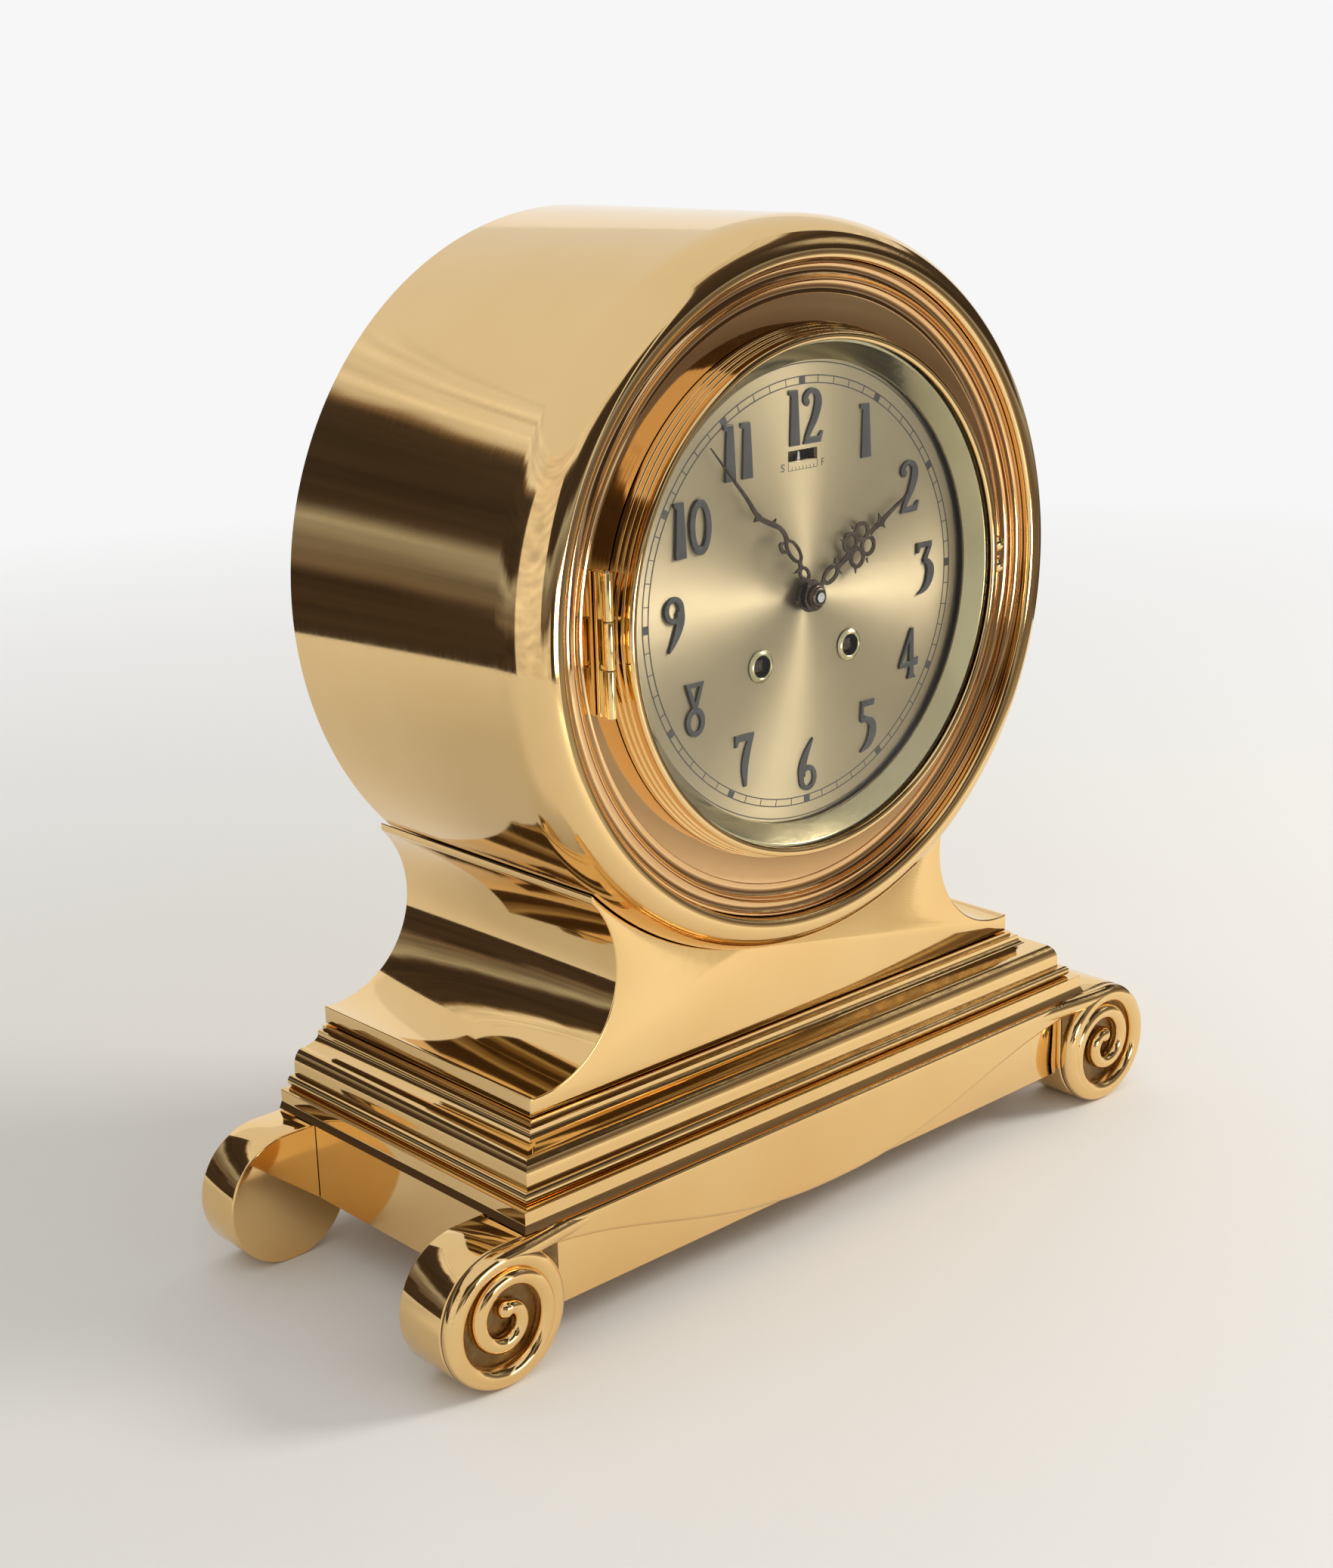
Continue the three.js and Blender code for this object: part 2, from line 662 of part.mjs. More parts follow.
// Catch: two balls on the ring grip a tongue on the door
const catchX = doorRadius + catchOffset;
const ballRise = catchBallRadius + catchTongue / 2 + runGap;
const ballY = leafFrontY - catchBallRadius;
const catchBalls = [-1, 1].map((side) => {
  const ball = new THREE.SphereGeometry(catchBallRadius, thinFacets, pivotFacets);
  return ball.rotateX(Math.PI / 2).translate(catchX, ballY, axisZ + side * ballRise);
});
const catchHalf = ballRise + catchBallRadius;
const catchFoot = block(
  catchX - catchBallRadius, catchX + catchBallRadius, leafFrontY - runGap, leafBackY,
  axisZ - catchHalf, axisZ + catchHalf);
add('ball_catch', combine([catchFoot, ...catchBalls]), brass);
add('catch_tongue', block(
  doorRadius + seatGap, catchX + catchBallRadius / 2, ballY - catchTongue / 2, leafFrontY - runGap - seatGap,
  axisZ - catchTongue / 2, axisZ + catchTongue / 2), brass);

// Dial: silvered plate with its centre hole, winding holes and regulator slot
const windZ = axisZ - windDrop;
const slotZ = axisZ + slotHeight;
const pipeRadius = arborRadius + runGap + pipeWall;
const dialHoles = [
  circle(0, axisZ, pipeRadius + pipeClear, thinFacets),
  circle(-windX, windZ, grommetHole),
  circle(windX, windZ, grommetHole),
  [[-slotWidth / 2, slotZ - slotTall / 2], [slotWidth / 2, slotZ - slotTall / 2],
    [slotWidth / 2, slotZ + slotTall / 2], [-slotWidth / 2, slotZ + slotTall / 2]],
];
add('dial', wall(circle(0, axisZ, dialRadius, drumFacets), dialPlaneY, dialBackY, dialHoles), silvered);
const sleeve = grommetHole - seatGap;
const grommetBore = sleeve - grommetWall;
for (const [name, x] of [['left_winding_grommet', -windX], ['right_winding_grommet', windX]]) {
  add(name, turn([
    [grommetBore, dialPlaneY - seatGap - grommetProud],
    [grommetHole + grommetRim, dialPlaneY - seatGap],
    [sleeve, dialPlaneY - seatGap],
    [sleeve, dialBackY],
    [grommetBore, dialBackY],
  ], smallFacets, x, windZ), brass);
}

// Movement plates and pillars, with a hole for each pivot
const plateFrontY = ringBackY + seatGap;
const plateBackY = plateFrontY + plateThickness;
const rearPlateY = plateBackY + plateSpacing;
const rearPlateBackY = rearPlateY + plateThickness;

// Teeth of the wheels and leaves of their pinions
const teeth = { great: 48, centrePinion: 8, centre: 48, thirdPinion: 6, third: 45 };
Object.assign(teeth, { cannon: 8, minute: 24, minutePinion: 6, hour: 24 });

// Outline of a wheel's pointed teeth, with one tooth tip at the given angle in degrees
function gear(count, pitchRadius, x, z, tip) {
  const module = 2 * pitchRadius / count;
  const points = [];
  for (let i = 0; i < 2 * count; i++) {
    const angle = THREE.MathUtils.degToRad(tip + 180 * i / count);
    const r = pitchRadius + (i % 2 ? -toothRoot : toothTip) * module;
    points.push([x + r * Math.cos(angle), z + r * Math.sin(angle)]);
  }
  return points;
}

// Place of an axis at a distance and angle from another
function from([x, z], distance, degrees) {
  const angle = THREE.MathUtils.degToRad(degrees);
  return [x + distance * Math.cos(angle), z + distance * Math.sin(angle)];
}

const centreAt = [0, axisZ];
const goingAt = [windX, windZ];
const strikeAt = [-windX, windZ];
const barrelDistance = Math.hypot(windX, windDrop);
const greatPitch = barrelDistance * teeth.great / (teeth.great + teeth.centrePinion);
const leafPitch = barrelDistance - greatPitch;
const thirdDistance = thirdModule * (teeth.centre + teeth.thirdPinion) / 2;
const thirdAt = from(centreAt, thirdDistance, thirdAngle);
const balanceAt = [balanceX, axisZ + balanceRise];
const hammerWheelAt = from(strikeAt, barrelDistance, strikeAngle);
const hammerAt = [hammerX, axisZ - hammerDrop];
const motionAt = from(centreAt, motionDistance, 180);
const regulatorAt = [0, slotZ - regulatorReach];

// Plates: pivot holes in both, and the front one bears on the ring
const pivots = [thirdAt, balanceAt, hammerWheelAt];
const pivotHole = ([x, z]) => circle(x, z, pivotRadius + runGap, pivotFacets);
const arborHole = ([x, z], radius) => circle(x, z, radius + runGap, thinFacets);
const wideHoles = [arborHole(goingAt, arborRadius), arborHole(strikeAt, arborRadius)];
const frontHoles = [
  ...pivots.map(pivotHole), ...wideHoles, arborHole(centreAt, arborRadius), pivotHole(motionAt),
  pivotHole(regulatorAt), pivotHole(hammerAt)];
const rearHoles = [
  ...pivots.map(pivotHole), ...wideHoles, pivotHole(centreAt), arborHole(hammerAt, arborRadius)];
const frontPlateOutline = circle(0, axisZ, plateRadius, drumFacets / 2);
add('movement_front_plate', wall(frontPlateOutline, plateFrontY, plateBackY, frontHoles), brass);
const rearPlateOutline = circle(0, axisZ, rearPlateRadius, drumFacets / 2);
add('movement_back_plate', wall(rearPlateOutline, rearPlateY, rearPlateBackY, rearHoles), brass);
[45, 135, 225, 315].forEach((angle, i) => {
  const [x, z] = from(centreAt, pillarCircle, angle);
  const pillar = rod(pillarRadius, plateBackY + seatGap, rearPlateY - seatGap, x, z, smallFacets);
  add(`movement_pillar_${i + 1}`, pillar, brass);
});

// Arbor that pivots in both plates
function arbor([x, z], radius = trainArbor) {
  const inset = plateThickness / 2;
  return rod(Math.min(radius, pivotRadius), plateFrontY + inset, rearPlateBackY - inset, x, z, pivotFacets);
}

// Levels of the train between the plates, counted from the front plate
const strikeLevel = plateBackY + wheelThickness;
const strikeDrumEnd = strikeLevel + wheelThickness + barrelLength;
const centreLevel = strikeDrumEnd + wheelThickness;
const goingDrumY = centreLevel + wheelThickness + pinionLength / 2;
const goingLevel = goingDrumY + barrelLength;
const thirdLevel = centreLevel - 2 * pinionLength;
const balanceLevel = goingDrumY;

// Barrels carry the great wheels and turn free on their winding arbors
function barrel([x, z], wheelY, drumY, tip) {
  const bore = rod(arborRadius + runGap, plateBackY, rearPlateY, x, z, thinFacets);
  return combine([
    wall(gear(teeth.great, greatPitch, x, z, tip), wheelY, wheelY + wheelThickness),
    rod(barrelRadius, drumY, drumY + barrelLength, x, z, drumFacets / 2),
  ], [bore]);
}
const goingBearing = THREE.MathUtils.radToDeg(Math.atan2(windDrop, -windX));
add('going_barrel', barrel(goingAt, goingLevel, goingDrumY, goingBearing), brass);
add('strike_barrel', barrel(strikeAt, strikeLevel, strikeLevel + wheelThickness, strikeAngle), brass);
for (const [name, [x, z]] of [['going_winding_arbor', goingAt], ['strike_winding_arbor', strikeAt]]) {
  const half = windSquare / 2;
  const squareY = dialPlaneY + windRecess;
  add(name, combine([
    rod(arborRadius, plateFrontY - seatGap, rearPlateBackY, x, z, thinFacets),
    block(x - half, x + half, squareY, plateFrontY - seatGap, z - half, z + half),
  ]), steel);
}

// Centre arbor with its pinion and the cannon pinion, and the wheels of the going train
const hourLevel = dialBackY + motionGap;
const minuteLevel = hourLevel + wheelThickness + motionGap;
const handY = dialPlaneY - handRise;
const hourHandFront = handY - handThickness;
const minuteHandBack = hourHandFront - handGap;
const minuteHandFront = minuteHandBack - handThickness;
const nutBack = minuteHandFront - seatGap;
const nutFront = nutBack - nutHeight;
const cannonPitch = motionDistance * teeth.cannon / (teeth.cannon + teeth.minute);
const hourPitch = motionDistance * teeth.hour / (teeth.hour + teeth.minutePinion);
const pinionTip = goingBearing + 180 + 180 / teeth.centrePinion;
const thirdTip = thirdAngle + 180 + 180 / teeth.thirdPinion;
const hammerTip = strikeAngle + 180 + 180 / teeth.centrePinion;
const minuteTip = 180 / teeth.minute;
const hourTip = 180 + 180 / teeth.hour;

function pinion(count, pitch, [x, z], level, tip) {
  const spare = (pinionLength - wheelThickness) / 2;
  return wall(gear(count, pitch, x, z, tip), level - spare, level + wheelThickness + spare);
}
function wheel(count, pitch, [x, z], level, tip) {
  return wall(gear(count, pitch, x, z, tip), level, level + wheelThickness);
}
add('centre_arbor', combine([
  rod(arborRadius, nutFront - seatGap, rearPlateY - seatGap, ...centreAt, thinFacets),
  rod(pivotRadius, rearPlateY - 2 * seatGap, rearPlateY + plateThickness / 2, ...centreAt, pivotFacets),
  pinion(teeth.centrePinion, leafPitch, centreAt, goingLevel, pinionTip),
  wheel(teeth.cannon, cannonPitch, centreAt, minuteLevel, 180),
  wheel(teeth.centre, thirdModule * teeth.centre / 2, centreAt, centreLevel, thirdAngle),
]), brass);
add('minute_wheel', combine([
  wheel(teeth.minute, motionDistance - cannonPitch, motionAt, minuteLevel, minuteTip),
  wall(gear(teeth.minutePinion, motionDistance - hourPitch, ...motionAt, 0),
    hourLevel - motionGap / 2, minuteLevel + wheelThickness / 2),
  rod(pivotRadius, minuteLevel, plateFrontY + plateThickness / 2, ...motionAt, pivotFacets),
]), brass);
add('hour_wheel', combine([
  wheel(teeth.hour, hourPitch, centreAt, hourLevel, hourTip),
  rod(pipeRadius, hourHandFront, hourLevel + wheelThickness / 2, ...centreAt, thinFacets),
], [rod(arborRadius + runGap, nutFront, minuteLevel, ...centreAt, thinFacets)]), brass);
add('third_wheel', combine([
  arbor(thirdAt),
  pinion(teeth.thirdPinion, thirdDistance - thirdModule * teeth.centre / 2, thirdAt, centreLevel, thirdTip),
  wheel(teeth.third, thirdPitch, thirdAt, thirdLevel, 0),
]), brass);

// Balance: rim, cross bar and staff
const rimInner = circle(...balanceAt, balanceRadius - balanceRim, smallFacets);
const balanceY = [balanceLevel, balanceLevel + wheelThickness];
const crossBar = block(
  balanceX - balanceRadius + balanceRim / 2, balanceX + balanceRadius - balanceRim / 2, ...balanceY,
  balanceAt[1] - balanceRim / 2, balanceAt[1] + balanceRim / 2);
add('balance_wheel', combine([
  wall(circle(...balanceAt, balanceRadius, smallFacets), ...balanceY, [rimInner]),
  crossBar,
  arbor(balanceAt),
]), brass);

// Platform: carries the escapement behind the balance, on two posts from the back plate
const platformY = balanceY[1] + motionGap;
const platformPosts = [-1, 1].map((side) => rod(
  arborRadius, platformY + plateThickness / 2, rearPlateY - seatGap,
  balanceX + side * balanceRadius, balanceAt[1], pivotFacets));
add('escapement_platform', combine([
  rod(balanceRadius + 2 * arborRadius, platformY, platformY + plateThickness, ...balanceAt, smallFacets),
  ...platformPosts,
], [rod(pivotRadius + runGap, plateBackY, rearPlateY, ...balanceAt, pivotFacets)]), brass);

// Strike: a wheel with lifting pins, a hammer on its own arbor, and the bell on a post
const pinCount = 8;
const pinCircle = hammerWheelRadius - 2 * pivotRadius;
const liftPins = Array.from({ length: pinCount }, (_, i) => {
  const at = from(hammerWheelAt, pinCircle, 360 * i / pinCount);
  return rod(pivotRadius, goingDrumY, goingDrumY + pinionLength, ...at, hexSides);
});
add('hammer_wheel', combine([
  arbor(hammerWheelAt),
  pinion(teeth.centrePinion, leafPitch, hammerWheelAt, strikeLevel, hammerTip),
  wall(circle(...hammerWheelAt, hammerWheelRadius, drumFacets / 2), goingDrumY, goingDrumY + wheelThickness),
  ...liftPins,
]), brass);
const bellRimY = rearPlateBackY + bellClear;
const bellCrownY = bellRimY + bellDepth;
const bellFlat = 3 * boltRadius;
const bellOuter = arc(bellFlat, bellRimY, bellRadius - bellFlat, bellDepth, 0, 90, 4);
const bellInner = arc(bellFlat, bellRimY, bellRadius - bellFlat - bellWall, bellDepth - bellWall, 90, 0, 4);
const postHole = boltRadius + seatGap;
add('bell', turn([
  ...bellOuter, [postHole, bellCrownY], [postHole, bellCrownY - bellWall], ...bellInner,
], drumFacets / 2, 0, axisZ), bronze);
const collarY = bellCrownY - bellWall - seatGap;
add('bell_post', bar([
  [2 * boltRadius, rearPlateBackY + seatGap], [2 * boltRadius, rearPlateBackY + bellClear / 4],
  [boltRadius, rearPlateBackY + bellClear / 4], [boltRadius, collarY - boltHeadHeight],
  [2 * boltRadius, collarY - boltHeadHeight], [2 * boltRadius, collarY],
  [boltRadius, collarY], [boltRadius, bellCrownY + boltHeadHeight],
], smallFacets, 0, axisZ), steel);
const headAt = from(centreAt, bellRadius + hammerClear + hammerHead, hammerAngle);
const headY = bellRimY + hammerHead / 2;
const armLength = Math.hypot(headAt[0] - hammerAt[0], headAt[1] - hammerAt[1]);
const armBearing = THREE.MathUtils.radToDeg(Math.atan2(headAt[1] - hammerAt[1], headAt[0] - hammerAt[0]));
const armSide = (along, side) => from(from(hammerAt, along, armBearing), side, armBearing + 90);
const armOutline = [
  armSide(-arborRadius, -arborRadius), armSide(armLength, -arborRadius),
  armSide(armLength, arborRadius), armSide(-arborRadius, arborRadius)];
add('hammer', combine([
  rod(arborRadius, plateBackY + seatGap, headY, ...hammerAt, thinFacets),
  rod(pivotRadius, plateFrontY + plateThickness / 2, plateBackY + 2 * seatGap, ...hammerAt, pivotFacets),
  wall(armOutline, headY - wheelThickness, headY),
  rod(hammerHead, headY - hammerHead, headY + hammerHead, ...headAt, smallFacets),
]), steel);

// Regulator index: a pointer that shows in the dial's slot
const indexY = dialBackY + seatGap;
const indexTop = slotZ + slotTall / 4;
add('regulator_index', combine([
  wall([[-hubRadius / 4, regulatorAt[1] - hubRadius / 4], [hubRadius / 4, regulatorAt[1] - hubRadius / 4],
    [handThickness / 2, indexTop], [-handThickness / 2, indexTop]], indexY, indexY + handThickness),
  rod(pivotRadius, indexY, plateFrontY + plateThickness / 2, ...regulatorAt, pivotFacets),
]), steel);

// Hands: pierced and curled, cut from thin sheet, pointing up before they are turned to the time
function hand(length, boss, bore, waist, swells, y0, y1, degrees) {
  const middle = (t) => waist.sway * Math.sin(waist.waves * Math.PI * t) * (1 - t);
  const swell = (t, [at, spread, size]) => size * Math.exp(-(((t - at) / spread) ** 2));
  const half = (t) => swells.reduce((sum, s) => sum + swell(t, s), waist.half * (1 - bladeTaper * t));
  const side = (sign) => Array.from({ length: waist.steps + 1 }, (_, i) => {
    const root = bladeRoot * boss / length;
    const t = root + (1 - root) * i / waist.steps;
    return [middle(t) + sign * half(t), t * length];
  });
  const blade = [...side(1), ...side(-1).reverse()];
  const eyes = swells.filter(([, , size]) => size > waist.half * 2).flatMap(([at, spread, size]) => {
    const tall = spread * length * eyeTall;
    return [arc(middle(at), at * length, size * eyeShare, tall, 0, 360, thinFacets).slice(0, -1)];
  });
  const pieces = [wall(blade, y0, y1, eyes), rod(boss, y0, y1, 0, 0)];
  const made = combine(pieces, [rod(bore, y0 - boss, y1 + boss, 0, 0, thinFacets)]);
  return made.rotateY(THREE.MathUtils.degToRad(degrees)).translate(0, 0, axisZ);
}
const hourSwells = [[0.24, 0.07, 3.4], [0.43, 0.03, 1.4], [0.6, 0.1, 5.6], [0.78, 0.03, 1.6]];
const minuteSwells = [[0.15, 0.05, 2.6], [0.27, 0.02, 1.2], [0.38, 0.03, 1.3], [0.56, 0.02, 1.3]];
add('hour_hand', hand(
  hourHandLength, hubRadius, pipeRadius + seatGap,
  { half: bladeHalf, sway: 0, waves: 1, steps: bladeSteps }, hourSwells,
  hourHandFront, handY, hourHandAngle), bluedSteel);
add('minute_hand', hand(
  minuteHandLength, minuteHub, arborRadius + seatGap,
  { half: bladeHalf, sway: minuteSway, waves: minuteWaves, steps: bladeSteps }, minuteSwells,
  minuteHandFront, minuteHandBack, minuteHandAngle), bluedSteel);
add('hand_nut', turn([
  [arborRadius + seatGap, nutBack], [nutRadius, nutBack], [nutRadius, nutBack - nutHeight / 2],
  [nutRadius - nutHeight / 2, nutFront], [arborRadius + seatGap, nutFront],
], smallFacets, 0, axisZ), bluedSteel);

// Bolts from under the plinth into the drum, each with its nut inside
const drumFloor = axisZ - drumInner;
for (const [place, y] of Object.entries(boltPlaces)) {
  const headTop = plinthZ - seatGap;
  const nutZ = drumFloor + boltRadius / 2;
  add(`${place}_base_bolt`, combine([
    upright(boltRadius, headTop - seatGap, nutZ + boltHeadHeight + boltRadius, 0, y, thinFacets),
    upright(boltHead, headTop - boltHeadHeight, headTop, 0, y, hexSides),
  ]), steel);
  const nutBore = upright(boltRadius + runGap, drumFloor, nutZ + drumRadius, 0, y, thinFacets);
  const nutBody = upright(boltHead, nutZ, nutZ + boltHeadHeight, 0, y, hexSides);
  add(`${place}_base_nut`, combine([nutBody], [nutBore]), steel);
}

export default clock;
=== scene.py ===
import bpy
import math
from mathutils import Matrix, Vector


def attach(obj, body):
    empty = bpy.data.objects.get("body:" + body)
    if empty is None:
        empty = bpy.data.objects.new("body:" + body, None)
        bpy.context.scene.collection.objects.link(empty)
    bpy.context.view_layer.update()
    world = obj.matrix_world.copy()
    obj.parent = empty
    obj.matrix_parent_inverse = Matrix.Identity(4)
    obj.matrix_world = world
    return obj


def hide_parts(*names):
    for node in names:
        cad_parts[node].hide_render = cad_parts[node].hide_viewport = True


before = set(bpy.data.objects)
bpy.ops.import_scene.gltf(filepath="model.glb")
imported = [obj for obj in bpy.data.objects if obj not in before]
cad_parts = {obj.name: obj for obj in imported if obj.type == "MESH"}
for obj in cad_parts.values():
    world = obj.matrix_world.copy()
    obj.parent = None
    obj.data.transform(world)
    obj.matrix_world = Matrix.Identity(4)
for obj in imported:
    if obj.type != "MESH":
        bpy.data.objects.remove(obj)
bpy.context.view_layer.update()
mm = 0.001
axisZ = 213.2  # height of the drum's own axis, mm
print("frame loaded:", len(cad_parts), "nodes")


# Ways of working that the pieces share. Sizes are in mm until they reach Blender.

def clearSelection():
    if bpy.context.mode != "OBJECT":
        bpy.ops.object.mode_set(mode="OBJECT")
    bpy.ops.object.select_all(action="DESELECT")


def takeUp(piece):
    clearSelection()
    piece.select_set(True)
    bpy.context.view_layer.objects.active = piece


def editMesh():
    bpy.ops.object.mode_set(mode="EDIT")


def selectAll():
    bpy.ops.mesh.select_all(action="SELECT")


def closeUp():
    selectAll()
    bpy.ops.mesh.remove_doubles(threshold=1e-6)
    bpy.ops.mesh.normals_make_consistent(inside=False)
    bpy.ops.object.mode_set(mode="OBJECT")


def settle():
    # the active piece's place, turn and size go into its mesh
    bpy.ops.object.transform_apply(location=True, rotation=True, scale=True)


def drawLine(name, points):
    # one vertex, pulled out along the line point by point; stays in edit mode
    clearSelection()
    bpy.ops.mesh.primitive_plane_add(size=1)
    piece = bpy.context.object
    piece.name = name
    editMesh()
    selectAll()
    bpy.ops.mesh.merge(type="CENTER")
    spots = [Vector(p) * mm for p in points]
    bpy.ops.transform.translate(value=spots[0])
    for a, b in zip(spots, spots[1:]):
        bpy.ops.mesh.extrude_vertices_move(TRANSFORM_OT_translate={"value": b - a})
    return piece


def spun(name, line, steps, centre, axis, closed):
    # spins a line all round an axis; a closed one ends where it begins
    piece = drawLine(name, line + line[:1] * closed)
    selectAll()
    bpy.ops.mesh.spin(steps=steps, angle=2 * math.pi, center=[v * mm for v in centre], axis=axis)
    closeUp()
    return piece


def turned(name, outline, steps=160, at=(0, axisZ), closed=True):
    # outline is [radius, y], about an axis that runs along y
    x, z = at
    return spun(name, [(x + r, y, z) for r, y in outline], steps, (x, 0, z), (0, 1, 0), closed)


def ballPiece(name, x, y, z, radius, steps):
    return turned(name, arcPoints(0, y, radius, radius, -90, 90, 20), steps, (x, z), closed=False)


def slab(name, outline, y0, y1):
    # an outline in x and z, filled and pulled back from y0 to y1
    piece = drawLine(name, [(x, y0, z) for x, z in list(outline) + [outline[0]]])
    selectAll()
    bpy.ops.mesh.remove_doubles(threshold=1e-6)
    bpy.ops.mesh.edge_face_add()
    bpy.ops.mesh.extrude_region_move(TRANSFORM_OT_translate={"value": (0, (y1 - y0) * mm, 0)})
    closeUp()
    return piece


def arcPoints(cx, cy, rx, ry, start, end, steps):
    turns = [math.radians(start + (end - start) * i / steps) for i in range(steps + 1)]
    return [(cx + rx * math.cos(t), cy + ry * math.sin(t)) for t in turns]


def ellipse(cx, cz, rx, rz, steps=40):
    return arcPoints(cx, cz, rx, rz, 0, 360, steps)[:-1]


def rounded(outline, radius, steps=4, closed=True):
    # eases each real corner of an outline; a bend under about 20 degrees is left as it is
    result = []
    count = len(outline)
    for i, p in enumerate(outline):
        corner = Vector(p)
        before = Vector(outline[i - 1]) - corner
        after = Vector(outline[(i + 1) % count]) - corner
        atEnd = not closed and i in (0, count - 1)
        if atEnd or before.length == 0 or after.length == 0 or before.angle(after) > math.radians(160):
            result.append(tuple(p))
            continue
        a = corner + before.normalized() * min(radius, before.length * 0.45)
        c = corner + after.normalized() * min(radius, after.length * 0.45)
        for k in range(steps + 1):
            t = k / steps
            result.append(tuple(a * (1 - t) ** 2 + corner * 2 * t * (1 - t) + c * t * t))
    return result


def smoothLine(points, parts=6):
    # a smooth line through the points, whatever they carry
    result = []
    last = len(points) - 1
    for i in range(last):
        near = points[max(i - 1, 0)], points[i], points[i + 1], points[min(i + 2, last)]
        for k in range(parts):
            t = k / parts
            result.append(tuple(
                0.5 * (2 * b + (c - a) * t + (2 * a - 5 * b + 4 * c - e) * t * t + (3 * b - a - 3 * c + e) * t ** 3)
                for a, b, c, e in zip(*near)))
    return result + [tuple(points[-1])]


def setAll(thing, settings):
    for key, value in settings.items():
        setattr(thing, key, value)


def applyModifier(piece, kind, **settings):
    takeUp(piece)
    bpy.ops.object.modifier_add(type=kind)
    modifier = piece.modifiers[-1]
    setAll(modifier, settings)
    bpy.ops.object.modifier_apply(modifier=modifier.name)


def softenEdges(piece, width, segments=3, angle=30):
    applyModifier(piece, "BEVEL", width=width * mm, segments=segments, limit_method="ANGLE",
                  angle_limit=math.radians(angle), harden_normals=False)


def cutAway(piece, cutter):
    applyModifier(piece, "BOOLEAN", object=cutter, operation="DIFFERENCE", solver="EXACT")
    clearSelection()
    cutter.select_set(True)
    bpy.ops.object.delete()


def boxPiece(name, low, high, easing):
    clearSelection()
    middle = [(a + b) / 2 * mm for a, b in zip(low, high)]
    bpy.ops.mesh.primitive_cube_add(size=1, location=middle)
    piece = bpy.context.object
    piece.name = name
    piece.scale = [(b - a) * mm for a, b in zip(low, high)]
    settle()
    softenEdges(piece, easing)
    return piece


def joinInto(piece, others):
    takeUp(piece)
    for other in others:
        other.select_set(True)
    bpy.ops.object.join()
    return piece


def mirrored(piece, name):
    takeUp(piece)
    bpy.ops.object.duplicate()
    other = bpy.context.object
    other.name = name
    editMesh()
    selectAll()
    bpy.ops.transform.resize(value=(-1, 1, 1), center_override=(0, 0, 0))
    closeUp()
    return other


def curvePiece(name, lines, closed, **settings):
    # straight lines on one curve, turned into a mesh; each point is [x, y, z, half width]
    clearSelection()
    bpy.ops.curve.primitive_bezier_curve_add()
    piece = bpy.context.object
    piece.name = name
    curve = piece.data
    curve.splines.clear()
    setAll(curve, settings)
    for line in lines:
        spline = curve.splines.new("POLY")
        spline.points.add(len(line) - 1)
        for point, (x, y, z, half) in zip(spline.points, line):
            point.co = (x, y, z, 1)
            point.radius = half
        spline.use_cyclic_u = closed
    bpy.ops.object.convert(target="MESH")
    return bpy.context.object


def flatCurve(name, outlines, thickness, edge, front, resolution=2):
    # outlines in x and z round the axis, filled between each other, with a softened edge
    lines = [[(x, z, 0, 1) for x, z in outline] for outline in outlines]
    piece = curvePiece(name, lines, True, dimensions="2D", fill_mode="BOTH", extrude=thickness / 2 - edge,
                       bevel_depth=edge, bevel_resolution=resolution, offset=-edge)
    piece.scale = (mm, mm, mm)  # drawn large, so that fine lines fill cleanly
    piece.rotation_euler = (math.pi / 2, 0, 0)
    piece.location = (0, (front + thickness / 2) * mm, axisZ * mm)
    settle()
    editMesh()
    closeUp()
    return piece


def dress(piece, finish):
    piece.data.materials.clear()
    piece.data.materials.append(bpy.data.materials[finish])


def placePiece(piece, finish, body, nodes=(), angle=30):
    takeUp(piece)
    bpy.ops.object.shade_smooth_by_angle(angle=math.radians(angle))
    dress(piece, finish)
    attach(piece, body)
    if nodes:
        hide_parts(*nodes)


# Finishes. Each reads Object coordinates, so its pattern stays on the piece.

def fill(node, values):
    # each socket holds a value or takes another node's output
    for key, value in values.items():
        if isinstance(value, bpy.types.NodeSocket):
            node.id_data.links.new(value, node.inputs[key])
        else:
            node.inputs[key].default_value = value
    return node


def addNode(tree, kind, values, **settings):
    node = tree.nodes.new("ShaderNode" + kind)
    setAll(node, settings)
    return fill(node, values)


def newMaterial(name, kind="BsdfPrincipled"):
    material = bpy.data.materials.new(name)
    material.use_nodes = True
    tree = material.node_tree
    tree.nodes.clear()
    shader = addNode(tree, kind, {})
    addNode(tree, "OutputMaterial", {"Surface": shader.outputs[0]})
    return tree, shader


def mixShaders(tree, share, first, second):
    mixed = addNode(tree, "MixShader", {"Fac": share, 1: first.outputs[0], 2: second.outputs[0]})
    fill(tree.nodes["Material Output"], {"Surface": mixed.outputs["Shader"]})


def objectPlace(tree):
    return addNode(tree, "TexCoord", {}).outputs["Object"]


def patternOn(tree, scale, stretch=(1, 1, 1), detail=3, roughness=0.55):
    mapping = addNode(tree, "Mapping", {"Vector": objectPlace(tree), "Scale": stretch})
    noise = {"Vector": mapping.outputs["Vector"], "Scale": scale, "Detail": detail, "Roughness": roughness}
    return addNode(tree, "TexNoise", noise).outputs["Fac"]


def spread(tree, source, low, high, fromLow=0.3, fromHigh=0.7):
    return addNode(tree, "MapRange", {"Value": source, "From Min": fromLow, "From Max": fromHigh,
                                      "To Min": low, "To Max": high}).outputs["Result"]


def mathNode(tree, operation, *values):
    return addNode(tree, "Math", dict(enumerate(values)), operation=operation).outputs["Value"]


